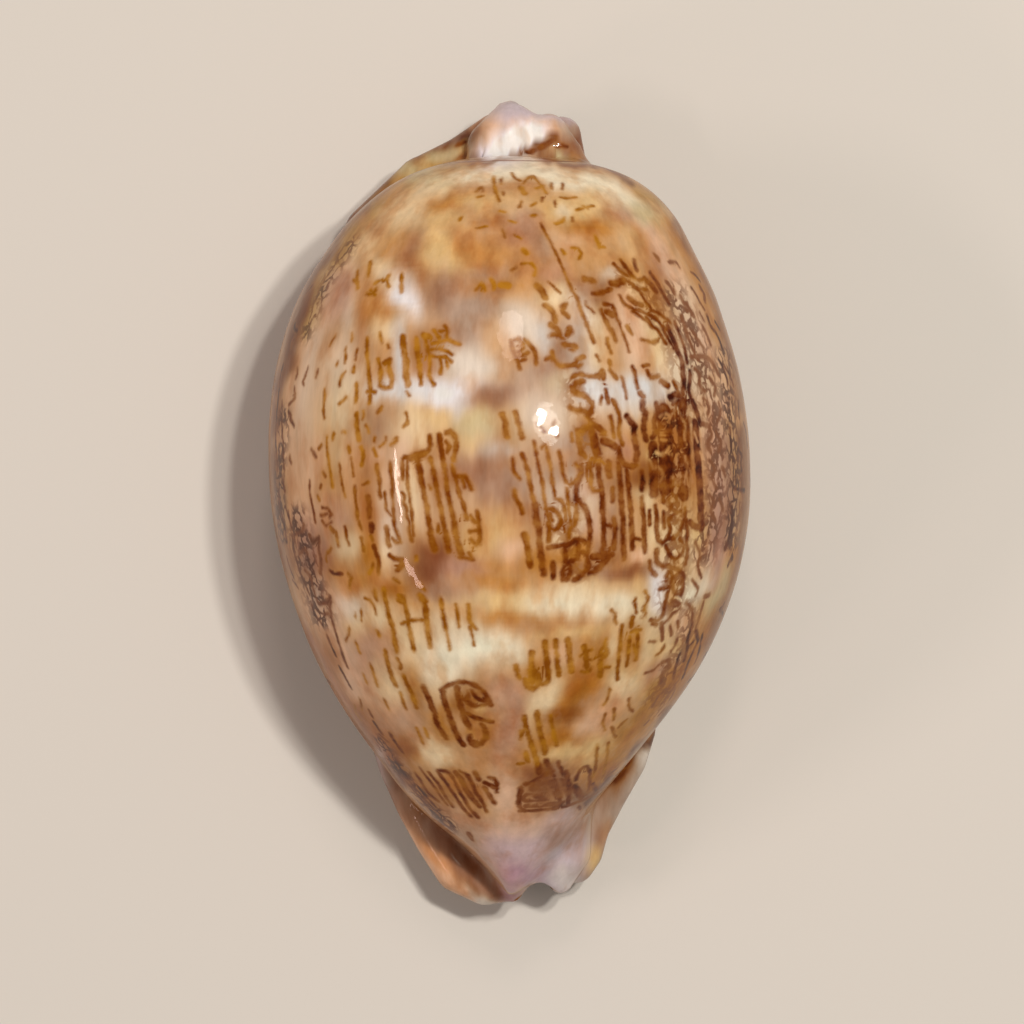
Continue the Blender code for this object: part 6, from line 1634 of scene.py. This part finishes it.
def glazedAragonite():
    material = bpy.data.materials.new("glazedAragonite")
    material.use_nodes = True
    tree = material.node_tree
    tree.nodes.clear()
    place = addNode(tree, "ShaderNodeTexCoord").outputs["Object"]
    perMillimetre = addNode(tree, "ShaderNodeVectorMath", {0: place, "Scale": 1 / mm},
                            operation="SCALE").outputs[0]
    prefixes = [f"mark{number}" for number in range(layout["layers"])] + ["cut"]
    names = ["ground", "lace", "markReach", "markTone", "markVeil", "toothRidge", "lining"]
    names += [prefix + trait for prefix in prefixes for trait in ("Offset", "HalfWidth", "Reach")]
    stored = {name: addNode(tree, "ShaderNodeAttribute", attribute_name=name).outputs for name in names}
    values = {name: outputs["Fac"] for name, outputs in stored.items()}
    for name, (lengthways, size, detail, roughness) in glazed["noises"].items():
        drawnOut = addNode(tree, "ShaderNodeVectorMath", {0: perMillimetre, 1: (1.0, lengthways, 1.0)},
                           operation="MULTIPLY")
        stored[name] = addNode(tree, "ShaderNodeTexNoise",
                               {"Vector": drawnOut.outputs[0], "Scale": 1 / size, "Detail": detail,
                                "Roughness": roughness}).outputs
        values[name] = stored[name][0]
    shares = {}
    for name, (source, *limits) in glazed["shares"].items():
        inputs = dict(enumerate((values[source], *limits)))
        shares[name] = addNode(tree, "ShaderNodeMapRange", inputs).outputs[0]

    # 1 inside a mark and 0 outside, with a slightly wobbling edge; the plain reach keeps it off the lines
    # midway between two marks, where the offsets turn over
    inside = {}
    soft, centre = glazed["edgeSoftness"] / 2, glazed["edgeWobble"] / 2
    for prefix in prefixes:
        offset = addNode(tree, "ShaderNodeVectorMath", {0: stored[prefix + "Offset"]["Vector"]},
                         operation="LENGTH")
        beyond = addNode(tree, "ShaderNodeMath",
                         {0: offset.outputs["Value"], 1: values[prefix + "HalfWidth"]}, operation="SUBTRACT")
        moved = addNode(tree, "ShaderNodeMath",
                        {0: values["wobble"], 1: glazed["edgeWobble"], 2: beyond.outputs[0]},
                        operation="MULTIPLY_ADD")
        body = addNode(tree, "ShaderNodeMapRange",
                       {0: moved.outputs[0], 1: centre - soft, 2: centre + soft, 3: 1.0, 4: 0.0},
                       interpolation_type="SMOOTHSTEP")
        near = addNode(tree, "ShaderNodeMapRange",
                       {0: values[prefix + "Reach"], 1: glazed["markEnd"][0], 2: glazed["markEnd"][1],
                        3: 1.0, 4: 0.0})
        inside[prefix] = addNode(tree, "ShaderNodeMath", {0: body.outputs[0], 1: near.outputs[0]},
                                 operation="MULTIPLY").outputs[0]
    marked = inside[prefixes[0]]
    for prefix in prefixes[1:-1]:
        marked = addNode(tree, "ShaderNodeMath", {0: marked, 1: inside[prefix]},
                         operation="MAXIMUM").outputs[0]
    clear = addNode(tree, "ShaderNodeMath", {0: 1.0, 1: inside["cut"]}, operation="SUBTRACT").outputs[0]
    for factor in (shares["strength"], clear):
        marked = addNode(tree, "ShaderNodeMath", {0: marked, 1: factor}, operation="MULTIPLY").outputs[0]

    # the lacework: the edges of warped cells, torn here and there
    lace = addNode(tree, "ShaderNodeSeparateXYZ", {0: stored["lace"]["Vector"]})
    centred = addNode(tree, "ShaderNodeVectorMath", {0: stored["warp"]["Color"], 1: (0.5, 0.5, 0.5)},
                      operation="SUBTRACT")
    drawn = addNode(tree, "ShaderNodeVectorMath", {0: perMillimetre, 1: (1.0, laces["stretch"], 1.0)},
                    operation="MULTIPLY")
    warped = addNode(tree, "ShaderNodeVectorMath",
                     {0: centred.outputs[0], 1: (2 * laces["warp"],) * 3, 2: drawn.outputs[0]},
                     operation="MULTIPLY_ADD")
    cells = addNode(tree, "ShaderNodeTexVoronoi", {"Vector": warped.outputs[0], "Scale": 1 / laces["cell"]},
                    feature="DISTANCE_TO_EDGE")
    solid, faded = laces["thread"]
    laced = addNode(tree, "ShaderNodeMapRange",
                    {0: cells.outputs["Distance"], 1: solid, 2: faded, 3: 1.0, 4: 0.0},
                    interpolation_type="SMOOTHSTEP").outputs[0]
    for factor in (lace.outputs[0], shares["torn"]):
        laced = addNode(tree, "ShaderNodeMath", {0: laced, 1: factor}, operation="MULTIPLY").outputs[0]

    # the inks of the marks and of the lacework, by tone, and dulled where callus veils them
    veiled = toLinear(glazed["veiled"])
    inks = []
    for tone, veil in ((values["markTone"], values["markVeil"]), (lace.outputs[1], lace.outputs[2])):
        shifted = addNode(tree, "ShaderNodeMath", {0: tone, 1: shares["toneShift"]}, operation="ADD")
        ink = addNode(tree, "ShaderNodeValToRGB", {0: shifted.outputs[0]})
        ink.color_ramp.elements.remove(ink.color_ramp.elements[1])
        for position, colour in glazed["inks"]:
            stop = ink.color_ramp.elements.new(position) if position else ink.color_ramp.elements[0]
            stop.color = toLinear(colour)
        inks.append(addNode(tree, "ShaderNodeMix", {"Factor": veil, 6: ink.outputs[0], 7: veiled},
                            data_type="RGBA").outputs[2])

    # all the colours, laid one over another: fine growth streaks, golden stains and paler patches, a stain
    # round the marks, lacework, marks, chestnut teeth and the violet-grey lining of the hollow
    colour = addNode(tree, "ShaderNodeVectorMath", {0: stored["ground"]["Color"], "Scale": shares["shade"]},
                     operation="SCALE").outputs[0]
    stain = addNode(tree, "ShaderNodeVectorMath", {0: colour, 1: toLinear(glazed["stain"])[:3]},
                    operation="MULTIPLY").outputs[0]
    halo = addNode(tree, "ShaderNodeMapRange",
                   {0: values["markReach"], 1: 0.0, 2: glazed["haloReach"],
                    3: glazed["haloStrength"], 4: 0.0},
                   interpolation_type="SMOOTHSTEP").outputs[0]
    coats = (
        (shares["stain"], stain),
        (shares["pale"], toLinear(glazed["pale"])),
        (halo, toLinear(glazed["halo"])),
        (laced, inks[1]),
        (marked, inks[0]),
        (shares["tooth"], toLinear(glazed["tooth"])),
        (shares["lining"], toLinear(groundColours["lining"])),
    )
    for share, tint in coats:
        colour = addNode(tree, "ShaderNodeMix", {"Factor": share, 6: colour, 7: tint},
                         data_type="RGBA").outputs[2]

    waved = addNode(tree, "ShaderNodeBump",
                    {"Strength": 1.0, "Distance": glazed["waveDepth"] * mm, "Height": values["wave"]})
    grained = addNode(tree, "ShaderNodeBump",
                      {"Strength": 1.0, "Distance": glazed["grainDepth"] * mm, "Height": values["grain"],
                       "Normal": waved.outputs[0]})
    surface = addNode(tree, "ShaderNodeBsdfPrincipled",
                      {"Base Color": colour, "Roughness": glazed["roughness"], "IOR": glazed["ior"],
                       "Specular IOR Level": glazed["specular"],
                       "Coat Weight": glazed["coat"], "Coat Roughness": glazed["coatRoughness"],
                       "Coat IOR": glazed["coatIor"], "Normal": grained.outputs[0],
                       "Coat Normal": waved.outputs[0]})
    addNode(tree, "ShaderNodeOutputMaterial", {"Surface": surface.outputs[0]})
    return material


def makeShell():
    mesh = shellMesh()
    storeTeethPlaces(mesh)
    piece = bpy.data.objects.new("cowrieShell", mesh)
    bpy.context.scene.collection.objects.link(piece)
    material = glazedAragonite()
    mesh.materials.append(material)
    raiseTeeth(piece, material)
    middle = settle(piece.data) / mm
    print("shell shaped,", len(piece.data.polygons), "faces")
    paintGround(piece.data)
    paintLaces(piece.data)
    paintMarks(piece.data, middle)
    print("shell painted")
    piece.data.shade_smooth()
    return piece


# Studio: a plain pale floor under two small lamps overhead with a wider glow round them, a strip and a card
# on the left, and a soft patch behind.
studio = {
    "floor": "#dedcd8",
    "floorSize": 3.0,
    "floorRoughness": 0.9,
    "air": "#fff6ea",
    "world": 0.232,
    # name: place, aimed at, size along the floor, size up, power in watts, colour
    "lamps": {
        "overhead": ((0.225, 0.15, 0.72), (0.0, 0.0, 0.02), 0.04, 0.045, 1.7, "#fff6ea"),
        "overheadMate": ((0.155, 0.185, 0.72), (0.0, 0.0, 0.02), 0.03, 0.05, 1.3, "#fff6ea"),
        "overheadGlow": ((0.19, 0.17, 0.74), (0.0, 0.0, 0.02), 0.14, 0.13, 0.6, "#fff6ea"),
        "leftStrip": ((-0.52, -0.04, 0.46), (0.0, 0.0, 0.015), 0.22, 0.02, 0.5, "#ffe6dc"),
        "frontCard": ((-0.47, -0.33, 0.42), (0.0, 0.0, 0.015), 0.14, 0.035, 0.25, "#ffd8cc"),
        "rearWindow": ((0.01, 0.43, 0.62), (0.0, 0.0, 0.02), 0.12, 0.17, 0.45, "#ffe4d8"),
    },
}

view = {
    "place": (0.00022, -0.00070, 0.608),
    "lens": 242.3,
    "sensor": 36.0,
}


def addFloor():
    half = studio["floorSize"] / 2
    mesh = bpy.data.meshes.new("floor")
    corners = [(-half, -half, 0), (half, -half, 0), (half, half, 0), (-half, half, 0)]
    mesh.from_pydata(corners, [], [(0, 1, 2, 3)])
    material = bpy.data.materials.new("mattePaper")
    material.use_nodes = True
    surface = material.node_tree.nodes["Principled BSDF"]
    surface.inputs["Base Color"].default_value = toLinear(studio["floor"])
    surface.inputs["Roughness"].default_value = studio["floorRoughness"]
    mesh.materials.append(material)
    floor = bpy.data.objects.new("floor", mesh)
    bpy.context.scene.collection.objects.link(floor)


def addLamp(name, place, target, width, length, power, colour):
    light = bpy.data.lights.new(name, "AREA")
    light.shape = "ELLIPSE"
    light.size, light.size_y = width, length
    light.energy = power
    light.color = toLinear(colour)[:3]
    lamp = bpy.data.objects.new(name, light)
    lamp.location = place
    lamp.rotation_euler = (Vector(target) - Vector(place)).to_track_quat("-Z", "Y").to_euler()
    bpy.context.scene.collection.objects.link(lamp)


def addStudio():
    addFloor()
    for name, traits in studio["lamps"].items():
        addLamp(name, *traits)
    world = bpy.data.worlds.new("studio")
    world.use_nodes = True
    world.node_tree.nodes["Background"].inputs["Color"].default_value = toLinear(studio["air"])
    world.node_tree.nodes["Background"].inputs["Strength"].default_value = studio["world"]
    scene = bpy.context.scene
    scene.world = world
    scene.view_settings.view_transform = "Standard"


def addCamera():
    camera = bpy.data.cameras.new("camera")
    camera.lens = view["lens"]
    camera.sensor_width = view["sensor"]
    holder = bpy.data.objects.new("camera", camera)
    holder.location = view["place"]
    bpy.context.scene.collection.objects.link(holder)
    bpy.context.scene.camera = holder


piece = makeShell()
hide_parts("shell")
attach(piece, "root")
addStudio()
addCamera()
print("studio and camera set")
